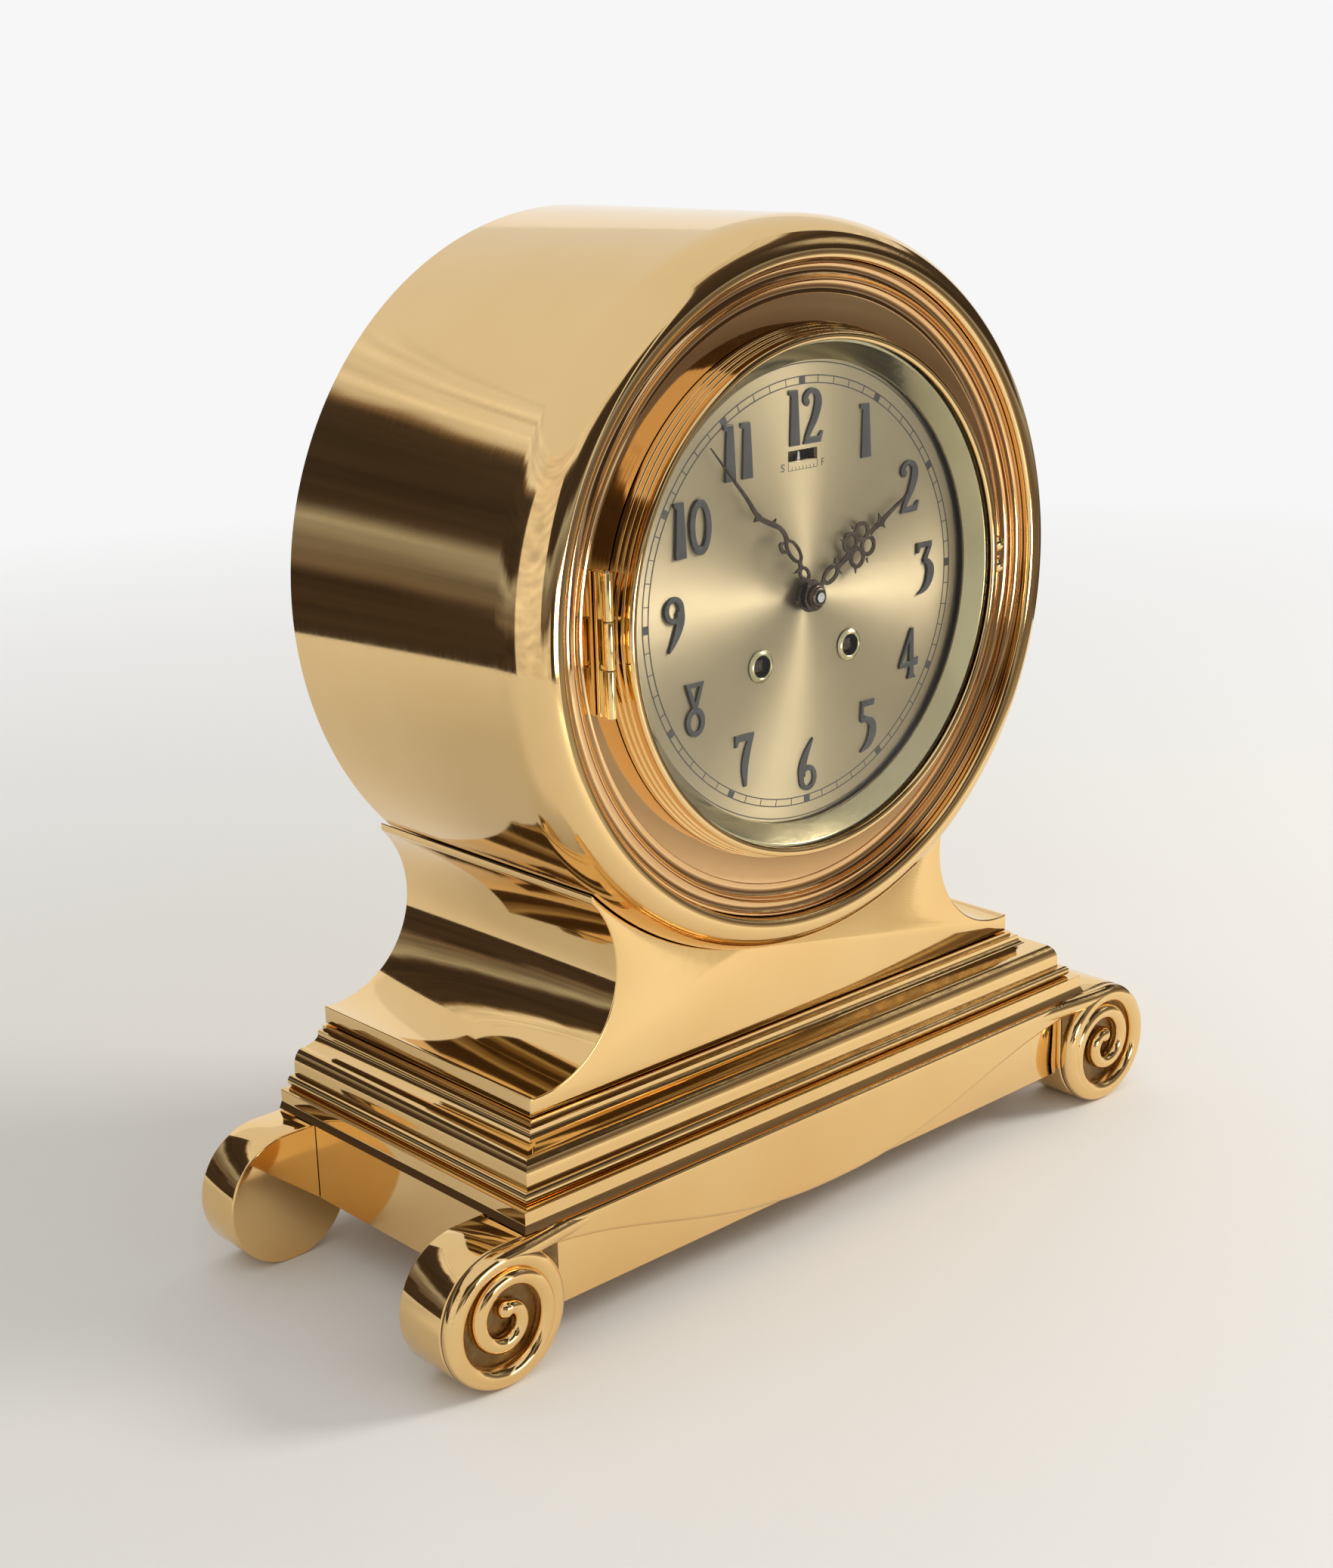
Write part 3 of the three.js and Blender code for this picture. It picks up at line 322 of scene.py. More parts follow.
def colourRamp(tree, source, stops):
    ramp = addNode(tree, "ValToRGB", {"Fac": source})
    made = ramp.color_ramp.elements
    while len(made) < len(stops):
        made.new(0.5)
    for stop, (place, colour) in zip(made, stops):
        stop.position = place
        stop.color = (*colour, 1)
    return ramp.outputs["Color"]


def tint(tree, source, spec):
    return colourRamp(tree, source, [(0.32, spec["dark"]), (0.68, spec["light"])])


def metalFinish(name, spec):
    tree, shader = newMaterial(name)
    polish = patternOn(tree, spec["polishScale"], spec["polishStretch"], detail=4)
    bump = addNode(tree, "Bump", {"Strength": spec["bump"], "Distance": 0.2 * mm, "Height": polish})
    fill(shader, {"Metallic": 1, "Base Color": tint(tree, patternOn(tree, spec["cloudScale"]), spec),
                  "Roughness": spread(tree, polish, *spec["roughness"]), "Normal": bump.outputs["Normal"]})


# light and dark colour, scale of the clouds, scale and stretch of the polish, roughness, bump
finishKeys = ("light", "dark", "cloudScale", "polishScale", "polishStretch", "roughness", "bump")
finishes = {
    "polishedBronze": ((0.91, 0.64, 0.3), (0.87, 0.58, 0.25), 14, 260, (1, 1, 1), (0.045, 0.075), 0.01),
    "turnedBronze": ((0.91, 0.65, 0.32), (0.87, 0.6, 0.27), 11, 160, (0.12, 5, 0.12), (0.045, 0.09), 0.012),
    # the ring's bronze: a rosier tone, and darker as painted shade for the darker floor its flat reflects
    "rosyShadedBronze": ((0.84, 0.54, 0.27), (0.76, 0.46, 0.21), 16, 220, (1, 1, 1), (0.05, 0.09), 0.01),
    "dullBronze": ((0.27, 0.165, 0.068), (0.165, 0.098, 0.038), 120, 500, (1, 1, 1), (0.22, 0.36), 0.03),
    "yellowBrass": ((0.93, 0.73, 0.36), (0.86, 0.63, 0.27), 20, 300, (1, 1, 1), (0.06, 0.11), 0.012),
    "movementBrass": ((0.84, 0.66, 0.33), (0.72, 0.53, 0.24), 40, 500, (1, 1, 1), (0.2, 0.38), 0.04),
    "turnedSteel": ((0.56, 0.55, 0.53), (0.4, 0.39, 0.38), 60, 900, (1, 3, 1), (0.18, 0.34), 0.05),
    "paleSilver": ((0.49, 0.43, 0.26), (0.41, 0.35, 0.195), 18, 420, (1, 6, 1), (0.12, 0.2), 0.03),
    "darkSteel": ((0.085, 0.06, 0.045), (0.04, 0.03, 0.025), 90, 700, (1, 1, 1), (0.22, 0.38), 0.04),
}
for name, values in finishes.items():
    metalFinish(name, dict(zip(finishKeys, values)))
print("finishes made")


# Plinth: the moulding is drawn once at the left corner and carried round the front and both sides

plinthSizes = {"dadoHalf": 111.7, "dadoFront": -42.5, "back": 65.4, "low": 44.6, "easing": 0.35}
plinthOutline = rounded(
    [(20.4, 0), (19.3, 2.4), (19.3, 6.4)]
    + arcPoints(14.6, 8.3, 1.9, 1.9, -90, 90, 10)
    + [(13.4, 10.2)]
    + arcPoints(9.9, 12.6, 3.5, 5.8, 0, 90, 14)
    + arcPoints(9.9, 21.4, 6.7, 3, -90, -180, 10)[1:]
    + [(3.2, 22.5), (1.2, 22.5), (1.2, 23.9)],
    plinthSizes["easing"], steps=3, closed=False)


def pickEdges(piece, test):
    # selects, in edit mode, the edges whose two ends both pass the test
    bpy.ops.mesh.select_all(action="DESELECT")
    bpy.ops.mesh.select_mode(type="EDGE")
    bpy.ops.object.mode_set(mode="OBJECT")
    spots = piece.data.vertices
    for edge in piece.data.edges:
        edge.select = all(test(spots[v].co) for v in edge.vertices)
    editMesh()


def pullTo(resize, y):
    bpy.ops.mesh.extrude_edges_move()
    bpy.ops.transform.resize(value=resize, center_override=(0, y * mm, 0))


def mouldedPlinth(name, outline, sizes):
    half, front, low, back = (sizes[k] for k in ("dadoHalf", "dadoFront", "low", "back"))
    piece = drawLine(name, [(-half - out, front - out, low + up) for out, up in outline])
    selectAll()
    pullTo((-1, 1, 1), 0)  # along the front to the right corner
    pullTo((1, 0, 1), back)  # along the right side to the back
    pickEdges(piece, lambda p: p.x < 0)
    pullTo((1, 0, 1), back)  # along the left side to the back
    pickEdges(piece, lambda p: abs(p.y - back * mm) < 1e-6)
    bpy.ops.mesh.bridge_edge_loops()
    selectAll()
    bpy.ops.mesh.fill_holes(sides=4)
    bpy.ops.mesh.select_mode(type="VERT")
    closeUp()
    return piece


plinth = mouldedPlinth("mouldedPlinth", plinthOutline, plinthSizes)
placePiece(plinth, "polishedBronze", "case", ["plinth"])

# Pedestal: one outline with coved sides and a saddle for the drum

pedestalSizes = {"half": 111.7, "low": 68.8, "fillet": 6.2, "ledgeHalf": 84.2, "ledge": 2.7, "cove": 21.4,
                 "saddle": 116.3, "front": -42.5, "back": 65.4, "easing": 0.45}


def bowPoints(a, b, depth, steps):
    # a hollow arc between two points
    chord = Vector(b) - Vector(a)
    halfChord = chord.length / 2
    radius = (halfChord ** 2 + depth ** 2) / (2 * depth)
    side = Vector((chord.y, -chord.x)).normalized()
    centre = Vector(a) + chord / 2 + side * (radius - depth)
    first = math.atan2(a[1] - centre.y, a[0] - centre.x)
    sweep = math.atan2(b[1] - centre.y, b[0] - centre.x) - first
    sweep = math.atan2(math.sin(sweep), math.cos(sweep))
    return [(centre.x + radius * math.cos(first + sweep * i / steps),
             centre.y + radius * math.sin(first + sweep * i / steps)) for i in range(steps + 1)]


def covedPedestal(name, half, low, fillet, ledgeHalf, ledge, cove, saddle, front, back, easing):
    top = axisZ - math.sqrt(saddle ** 2 - ledgeHalf ** 2)
    side = [(half, low)] + bowPoints((half, low + fillet), (ledgeHalf, top - ledge), cove, 48)
    reach = math.degrees(math.asin(ledgeHalf / saddle))
    bed = arcPoints(0, axisZ, saddle, saddle, reach - 90, -reach - 90, 96)
    piece = slab(name, side + bed + [(-x, z) for x, z in reversed(side)], front, back)
    softenEdges(piece, easing)
    return piece


pedestal = covedPedestal("covedPedestal", **pedestalSizes)
placePiece(pedestal, "polishedBronze", "case", ["pedestal"])

# Feet: round drums behind the scrolls and at the back; one is shaped and the others are copies

footSizes = {"centre": 142.2, "middle": 22, "radius": 22.3, "top": 44.3, "front": (-62.1, -42.1),
             "rear": (46.9, 65.4), "easing": 0.7}


def footOutline(s):
    x, z, radius = s["centre"], s["middle"], s["radius"]
    low = math.degrees(math.atan2(-z, math.sqrt(radius ** 2 - z ** 2)))
    return (arcPoints(x, z, radius, radius, low, 90, 48) + [(x - radius, s["top"])]
            + arcPoints(x, z, radius, radius, 180, 180 - low, 24))


for place in ("front", "rear"):
    foot = slab(place + "RightFoot", footOutline(footSizes), *footSizes[place])
    softenEdges(foot, footSizes["easing"])
    other = mirrored(foot, place + "LeftFoot")
    placePiece(foot, "polishedBronze", "case", [place + "_right_foot"])
    placePiece(other, "polishedBronze", "case", [place + "_left_foot"])
print("base and pedestal made")

# Apron: a panel between the feet, a raised field that sweeps down its middle, and a scroll at each end

apronSizes = {
    "field": -63.3, "panel": (-60.6, -57.6), "half": 119.6, "crest": -67, "plate": (-62.9, -62.4), "overlap": 1.2,
    "bottom": 15.6, "top": 44.3, "fieldEnd": 132, "ease": 1.15, "fieldEasing": 2.6, "plateEasing": 0.2,
    "panelEasing": 0.5, "footRoom": (170, -50, 60)}
scrollSizes = {
    "eyeX": 142.2, "eyeZ": 22, "rim": (18.95, 3.35), "leadIn": 104, "ball": 3, "band": (3.3, 2.35),
    "radii": [(0.4, 18.9), (0.55, 18.2), (0.75, 15.7), (1, 12.5), (1.25, 9.8), (1.5, 7.7), (1.75, 5.3), (2, 3.1)]}


def fieldOutline(s, c):
    low = s["top"] - 2 * c["rim"][1]
    side = [(c["eyeX"], s["top"]), (c["eyeX"], low)]
    for i in range(40):
        share = 1 - i / 40
        ease = (1 - math.cos(math.pi * share ** s["ease"])) / 2
        side.append((s["fieldEnd"] * share, s["bottom"] + (low - s["bottom"]) * ease))
    return side + [(0, s["bottom"])] + [(-x, z) for x, z in reversed(side)]


def roundBar(name, points):
    line = [(x * mm, y * mm, z * mm, half) for x, y, z, half in points]
    return curvePiece(name, [line], False, bevel_depth=mm, bevel_resolution=8, use_fill_caps=True)


def leadIn(name, s, c):
    # along the apron's top edge, from flush with the field to the scroll's crest
    half = c["rim"][1]
    points = []
    for i in range(25):
        share = i / 24
        front = s["field"] + (s["crest"] - s["field"]) * share ** 2 * (3 - 2 * share)
        points.append((c["leadIn"] + (c["eyeX"] - c["leadIn"]) * share, front + half, s["top"] - half, half))
    return roundBar(name, points)


def innerBand(name, s, c):
    # leaves the rim, winds in and ends in a ball beside the eye
    points = []
    line = smoothLine(c["radii"], parts=18)
    wide, narrow = c["band"]
    for turns, radius in line:
        half = wide + (narrow - wide) * ((turns - line[0][0]) / (line[-1][0] - line[0][0]))
        angle = math.pi / 2 - 2 * math.pi * turns
        points.append((c["eyeX"] + radius * math.cos(angle), s["crest"] + half,
                       c["eyeZ"] + radius * math.sin(angle), half))
    x, _, z, _ = points[-1]
    ball = ballPiece("scrollBall", x, s["crest"] + c["ball"], z, c["ball"], 32)
    return joinInto(roundBar(name, points), [ball])


def scrollRim(name, s, c):
    radius, half = c["rim"]
    return turned(name, ellipse(radius, s["crest"] + half, half, half, 28), 120, (c["eyeX"], c["eyeZ"]))


s, c = apronSizes, scrollSizes
half, panelFront, plateBack = s["half"], s["panel"][0], s["plate"][1]
corners = [(-half, s["bottom"]), (half, s["bottom"]), (half, s["top"]), (-half, s["top"])]
apron = slab("scrollApron", corners, *s["panel"])
softenEdges(apron, s["panelEasing"])
field = slab("apronField", fieldOutline(s, c), s["field"], panelFront + s["overlap"])
softenEdges(field, s["fieldEasing"], segments=7, angle=40)
out, front, up = s["footRoom"]
for sign in (-1, 1):
    near, far = sorted((sign * half, sign * out))
    cutAway(field, boxPiece("footRoom", (near, plateBack, 0), (far, front, up), 0.05))
plate = slab("rightScrollGround", footOutline(footSizes), *s["plate"])
softenEdges(plate, s["plateEasing"])
rightScroll = joinInto(scrollRim("rightScroll", s, c), [innerBand("scrollBand", s, c), leadIn("scrollLead", s, c)])
takeUp(rightScroll)
editMesh()
for back, side in ((plateBack - 0.1, (0, 1, 0)), (0, (0, 0, -1))):
    selectAll()
    bpy.ops.mesh.bisect(plane_co=(0, back * mm, 0), plane_no=side, use_fill=True, clear_outer=True)
closeUp()
leftScroll = mirrored(rightScroll, "leftScroll")
otherPlate = mirrored(plate, "leftScrollGround")
joinInto(apron, [field, rightScroll, leftScroll])
placePiece(apron, "polishedBronze", "case", ["front_apron"], angle=35)
placePiece(plate, "dullBronze", "case")
placePiece(otherPlate, "dullBronze", "case")
print("apron and scrolls made")

# Drum: a turned shell with a rounded front roll, a shoulder inside for the ring and a flange for the cover

drumSizes = {
    "radius": 116, "inner": 112, "rear": 61.7, "rollStart": -41, "crestRadius": 106, "crest": -58,
    "lipDepth": 1.7, "seat": 102.9, "shoulder": -44.2, "shoulderInner": 96.1, "shoulderDeep": (4, 8),
    "flange": (56.3, 58.8), "flangeInner": 98, "chamfer": 1, "easing": 0.3}


def drumOutline(radius, inner, rear, rollStart, crestRadius, crest, lipDepth, seat, shoulder, shoulderInner,
                shoulderDeep, flange, flangeInner, chamfer, easing):
    roll = arcPoints(crestRadius, rollStart, radius - crestRadius, rollStart - crest, 0, -90, 28)
    lip = arcPoints(crestRadius, crest + lipDepth, crestRadius - seat, lipDepth, -90, -180, 12)
    inside = [(seat, shoulder), (shoulderInner, shoulder), (shoulderInner, shoulder + shoulderDeep[0]),
              (inner, shoulder + shoulderDeep[1]), (inner, flange[0]), (flangeInner, flange[0]),
              (flangeInner, flange[1]), (inner, flange[1]), (inner, rear)]
    return ([(radius - chamfer, rear), (radius, rear - chamfer)] + roll + lip[1:]
            + rounded(inside, easing, steps=2, closed=False))


drum = turned("drumShell", drumOutline(**drumSizes), steps=256)
placePiece(drum, "turnedBronze", "case", ["case_drum"])

# Rear cover: a shallow turned plate with a raised rim, held by four slotted screws

coverSizes = {"radius": 111.7, "front": 59.1, "back": 61.7, "rim": 5, "slope": 0.8, "recess": 0.7, "easing": 0.4}
screwSizes = {"count": 4, "circle": 104.5, "radius": 2.6, "proud": 0.9, "sunk": 0.2, "edge": 0.6, "side": 0.5,
              "dome": 0.25, "easing": 0.3, "slot": (6, 1, 0.7)}


def coverOutline(radius, front, back, rim, slope, recess, easing):
    outline = [(0, front), (radius, front), (radius, back), (radius - rim, back),
               (radius - rim - slope, back - recess), (0, back - recess)]
    return rounded(outline, easing, steps=3, closed=False)


cover = turned("rearCover", coverOutline(**coverSizes), steps=192, closed=False)
placePiece(cover, "turnedBronze", "case", ["rear_cover"])


def slottedScrew(name, x, z, c, s):
    # the head's back is a little under the cover's face
    base = c["back"] - c["recess"] - s["sunk"]
    top = c["back"] + s["proud"] - s["edge"]
    radius = s["radius"]
    outline = [(0, base), (radius, base), (radius, top - s["side"]), (radius - s["edge"], top), (0, top + s["dome"])]
    head = turned(name, rounded(outline, s["easing"], steps=3, closed=False), 40, (x, z), closed=False)
    clearSelection()
    bpy.ops.mesh.primitive_cube_add(size=1, location=(x * mm, top * mm, z * mm))
    cutter = bpy.context.object
    cutter.scale = [v * mm for v in s["slot"]]
    settle()
    cutAway(head, cutter)
    return head


for i in range(screwSizes["count"]):
    turn = math.radians(45 + 360 / screwSizes["count"] * i)
    x, z = screwSizes["circle"] * math.cos(turn), axisZ + screwSizes["circle"] * math.sin(turn)
    placePiece(slottedScrew("coverScrew" + str(i + 1), x, z, coverSizes, screwSizes), "turnedSteel", "case")

# Stepped ring between the roll and the door

ringSizes = {
    "outer": 102.6, "front": -54.7, "rim": (0.9, 0.7), "ridge": 97.2, "ridgeFront": -54.2, "bead": 0.45,
    "outerHollow": (0.5, 0.75), "innerHollow": (1.2, 0.5), "flat": -51.9, "flatOuter": 92.7, "flatStep": 0.35,
    "bore": 77.8, "lipInner": 74.3, "lip": -49, "back": -44.5, "easing": 0.25}


def ringOutline(outer, front, rim, ridge, ridgeFront, bead, outerHollow, innerHollow, flat, flatOuter, flatStep,
                bore, lipInner, lip, back, easing):
    # a narrow lip, a hollow, a fine bead, a second hollow and the broad flat that the door closes on
    edge, step = outer - rim[0], front + rim[1]
    outside = bowPoints((ridge + bead, ridgeFront + outerHollow[0]), (edge, step), outerHollow[1], 10)[-2::-1]
    crest = arcPoints(ridge, ridgeFront + bead, bead, bead, 0, -180, 10)
    low, deep = ridgeFront + innerHollow[0], innerHollow[1]
    inside = bowPoints((flatOuter, flat - flatStep), (ridge - bead, low), deep, 10)[::-1]
    rest = [(flatOuter, flat), (bore, flat), (bore, lip), (lipInner, lip), (lipInner, back), (outer, back)]
    return rounded([(outer, front), (edge, front), (edge, step)] + outside + crest + inside + rest, easing, steps=3)


frontRing = turned("steppedRing", ringOutline(**ringSizes), steps=256)
# the ring wears the darker, rosier bronze; its darkness is painted shade
placePiece(frontRing, "rosyShadedBronze", "case", ["front_ring"])

# Door: bezel with fine steps outside, flat glass in its rebate, and the sloping silvered sight ring

doorSizes = {
    "radius": 83.8, "opening": 79.1, "front": -61.2, "back": -52.2, "steps": 4, "step": 0.6, "rimDeep": 1.4,
    "rim": (1.45, 1.1), "lip": 1.1, "rebate": 80.7, "easing": 0.25, "glass": (-59.8, -58.2), "glassRadius": 80.4,
    "sightInner": 72.3, "sightFront": -57.9, "sightEdge": 0.8}


def bezelOutline(d):
    front, back, opening, (wide, deep) = d["front"], d["back"], d["opening"], d["rim"]
    depth = (back - front - d["rimDeep"]) / d["steps"]
    stepped = []
    for i in range(d["steps"]):
        radius = d["radius"] - i * d["step"]
        stepped += [(radius, back - i * depth), (radius, back - (i + 1) * depth)]
    rim = arcPoints(opening + wide, front + deep, wide, deep, -30, -180, 14)
    inside = [(opening, front + d["lip"]), (d["rebate"], front + d["lip"]), (d["rebate"], back)]
    return rounded(stepped, d["easing"], steps=3, closed=False) + rim + inside


def glassOutline(d):
    (front, back), radius = d["glass"], d["glassRadius"]
    return rounded([(0, front), (radius, front), (radius, back), (0, back)], d["easing"], steps=3, closed=False)


def sightOutline(d):
    outer, inner, front, back = d["glassRadius"], d["sightInner"], d["sightFront"], d["back"]
    return rounded([(outer, front), (d["opening"] - d["sightEdge"], front), (inner, back - d["sightEdge"]),
                    (inner, back), (outer, back)], d["easing"], steps=3)


bezel = turned("doorBezel", bezelOutline(doorSizes), steps=256)
placePiece(bezel, "turnedBronze", "door", ["door_bezel"])
glass = turned("doorGlass", glassOutline(doorSizes), steps=192, closed=False)
sight = turned("sightRing", sightOutline(doorSizes), steps=256)
placePiece(sight, "paleSilver", "door", ["sight_ring"])
print("drum, ring and door made")


def clearGlassFinish(name, spec):
    tree, shader = newMaterial(name)
    smears = patternOn(tree, spec["smearScale"], spec["smearStretch"])
    fill(shader, {"Base Color": (*spec["colour"], 1), "IOR": spec["ior"], "Transmission Weight": 1,
                  "Roughness": spread(tree, smears, *spec["roughness"])})
    # light passes straight through to the dial, so the glass casts no heavy shadow
    through = addNode(tree, "BsdfTransparent", {})
    mixShaders(tree, addNode(tree, "LightPath", {}).outputs["Is Shadow Ray"], shader, through)


clearGlassFinish("clearGlass", {"colour": (0.97, 0.985, 0.975), "ior": 1.22, "smearScale": 22,
                                "smearStretch": (1, 1, 2.5), "roughness": (0, 0.012)})
placePiece(glass, "clearGlass", "door", ["door_glass"])

# Hinge at nine o'clock: three knuckles on a pin, and the double ball catch at three o'clock


def uprightTurned(name, outline, x, y, steps=40, closed=True):
    # outline is [radius, z], about an upright axis
    return spun(name, [(x + r, y, z) for r, z in outline], steps, (x, y, 0), (0, 0, 1), closed)


hingeSizes = {
    "x": -86.3, "y": -56.7, "knuckle": 1.6, "bore": 0.95, "pin": 0.7, "length": 14.2, "gap": 0.3, "easing": 0.25,
    "leaf": (-53.4, -52.2), "doorEdge": -84.1, "pinProud": 0.6, "web": 0.6, "webFront": 1.2, "inset": 0.2}
h = hingeSizes
halfKnuckle = h["length"] / 2
hingeTop = halfKnuckle + h["gap"] + h["length"]
hingeX, (leafFront, leafBack) = h["x"], h["leaf"]
low, high = axisZ - hingeTop, axisZ + hingeTop


def knuckle(name, z0, z1):
    outline = [(h["bore"], z0), (h["knuckle"], z0), (h["knuckle"], z1), (h["bore"], z1)]
    return uprightTurned(name, rounded(outline, 0.3, steps=3), h["x"], h["y"])


half = h["knuckle"]
leaf = boxPiece("caseHinge", (hingeX - half, leafFront, low), (hingeX + half, leafBack, high), h["easing"])
fixed = []
for side, z0 in (("Low", low), ("High", axisZ + halfKnuckle + h["gap"])):
    z1 = z0 + h["length"]
    fixed.append(knuckle("knuckle" + side, z0, z1))
    fixed.append(boxPiece("web" + side, (hingeX - h["web"], h["y"] + h["webFront"], z0 + h["inset"]),
                          (hingeX + h["web"], leafBack - 0.1, z1 - h["inset"]), 0.15))
joinInto(leaf, fixed)
placePiece(leaf, "yellowBrass", "case", ["case_hinge"])
z0, z1 = axisZ - halfKnuckle, axisZ + halfKnuckle
doorKnuckle = knuckle("doorHinge", z0, z1)
joinInto(doorKnuckle, [boxPiece("doorWeb", (hingeX + 1.1, h["y"], z0 + h["inset"]),
                                (h["doorEdge"], leafFront - h["gap"], z1 - h["inset"]), 0.2)])
placePiece(doorKnuckle, "yellowBrass", "door", ["door_hinge"])
thick, thin, z0, z1 = h["pin"], h["pin"] * 0.8, low - h["pinProud"], high + h["pinProud"]
pinLine = [(0, z0), (thin, z0 + 0.15), (thick, z0 + 0.5), (thick, z1 - 0.5), (thin, z1 - 0.15), (0, z1)]
pin = uprightTurned("hingePin", pinLine, hingeX, h["y"], steps=24, closed=False)
placePiece(pin, "turnedSteel", "case", ["hinge_pin"])

catchSizes = {"x": 87, "ball": 2.6, "rise": 3.65, "foot": (-53.65, -52.2), "footHalf": (2.6, 6.2), "ballY": -56,
              "tongue": (84.1, 88.3), "tongueY": (-56.8, -54), "tongueHalf": 0.8}
c = catchSizes
x, (wide, tall), half = c["x"], c["footHalf"], c["tongueHalf"]
catch = boxPiece("ballCatch", (x - wide, c["foot"][0], axisZ - tall), (x + wide, c["foot"][1], axisZ + tall), 0.4)
joinInto(catch, [ballPiece("catchBall", x, c["ballY"], axisZ + side * c["rise"], c["ball"], 40) for side in (-1, 1)])
placePiece(catch, "yellowBrass", "case", ["ball_catch"])
low, high = zip(c["tongue"], c["tongueY"], (axisZ - half, axisZ + half))
placePiece(boxPiece("catchTongue", low, high, 0.25), "yellowBrass", "door", ["catch_tongue"])
print("hinge and catch made")

# Dial: a brushed silvered disc with its holes; the grain follows circles round the middle

dialSizes = {"radius": 77.5, "front": -50.7, "back": -49.3, "centreHole": 3.75, "windX": 19.5, "windZ": -19.4,
             "windHole": 4.1, "slotZ": 43.3, "slot": (12.6, 3.6)}
d = dialSizes
rings = [(d["radius"] * i / 30, d["front"]) for i in range(31)]
dial = turned("dialPlate", rings + [(d["radius"], d["back"]), (0, d["back"])], steps=192, closed=False)


def roundCutter(x, z, radius):
    clearSelection()
    place = (x * mm, d["front"] * mm, (axisZ + z) * mm)
    bpy.ops.mesh.primitive_cylinder_add(vertices=64, radius=radius * mm, depth=0.01, location=place,
                                        rotation=(math.pi / 2, 0, 0))
    settle()
    return bpy.context.object


cutAway(dial, roundCutter(0, 0, d["centreHole"]))
for x in (-d["windX"], d["windX"]):
    cutAway(dial, roundCutter(x, d["windZ"], d["windHole"]))
halfWide, halfTall = d["slot"][0] / 2, d["slot"][1] / 2
cutAway(dial, boxPiece("slotCutter", (-halfWide, d["front"] - 5, axisZ + d["slotZ"] - halfTall),
                       (halfWide, d["back"] + 5, axisZ + d["slotZ"] + halfTall), 0.3))


def grainAround(piece, layer):
    # a UV map whose u runs round the middle, for the direction of the brushing
    uv = piece.data.uv_layers.new(name=layer)
    for polygon in piece.data.polygons:
        near = math.atan2(polygon.center.z - axisZ * mm, polygon.center.x)
        for k in polygon.loop_indices:
            p = piece.data.vertices[piece.data.loops[k].vertex_index].co
            angle = math.atan2(p.z - axisZ * mm, p.x)
            angle += 2 * math.pi * round((near - angle) / (2 * math.pi))
            uv.data[k].uv = (angle / (2 * math.pi), math.hypot(p.x, p.z - axisZ * mm) * 10)


def brushedFinish(name, spec):
    # fine circles round the middle, a little cloudy
    tree, shader = newMaterial(name)
    centred = {"Vector": objectPlace(tree), "Location": (0, 0, -axisZ * mm), "Scale": (1, 0, 1)}
    centre = addNode(tree, "Mapping", centred).outputs["Vector"]
    radius = addNode(tree, "VectorMath", {0: centre}, operation="LENGTH").outputs["Value"]
    grain = addNode(tree, "TexNoise", {"W": radius, "Scale": spec["grainScale"], "Detail": 6},
                    noise_dimensions="1D").outputs["Fac"]
    share = spec["grainShare"]
    clouds = mathNode(tree, "MULTIPLY", patternOn(tree, spec["cloudScale"]), 1 - share)
    blend = mathNode(tree, "MULTIPLY_ADD", grain, share, clouds)
    tangent = addNode(tree, "Tangent", {}, direction_type="UV_MAP", uv_map=spec["layer"])
    fill(shader, {"Metallic": 1, "Anisotropic": spec["anisotropic"], "Tangent": tangent.outputs["Tangent"],
                  "Base Color": tint(tree, blend, spec),
                  "Roughness": spread(tree, grain, *spec["roughness"])})


brushedFinish("brushedSilver", {
    "light": (0.385, 0.317, 0.202), "dark": (0.345, 0.28, 0.176), "roughness": (0.43, 0.46), "anisotropic": 0.9,
    "grainScale": 2600, "grainShare": 0.2, "cloudScale": 26, "layer": "grain"})
grainAround(dial, "grain")
placePiece(dial, "brushedSilver", "case", ["dial"])

# Winding holes: bright turned grommets


def grommet(name, x):
    outline = [(3.45, -51.6), (3.9, -51.85), (4.7, -51.5), (5.2, -51.05), (3.8, -51), (3.8, -49.3), (3.45, -49.3)]
    return turned(name, rounded(outline, 0.12, steps=3), steps=64, at=(x, axisZ + d["windZ"]))


for side, sign in (("left", -1), ("right", 1)):
    piece = grommet(side + "Grommet", sign * d["windX"])
    placePiece(piece, "paleSilver", "case", [side + "_winding_grommet"])
print("dial made")

# Numerals and hands are cut from strokes: a middle line with a half width at each point


def strokeOutline(points, parts=6):
    line = smoothLine(points, parts)
    left, right = [], []
    for i, (x, z, half) in enumerate(line):
        ahead, behind = line[min(i + 1, len(line) - 1)], line[max(i - 1, 0)]
        along = Vector((ahead[0] - behind[0], ahead[1] - behind[1])).normalized()
        left.append((x - along.y * half, z + along.x * half))
        right.append((x + along.y * half, z - along.x * half))
    return left + right[::-1]


def stroke(*points):
    return [strokeOutline(points)]


def loop(outer, inner):
    return [ellipse(*outer), ellipse(*inner)]


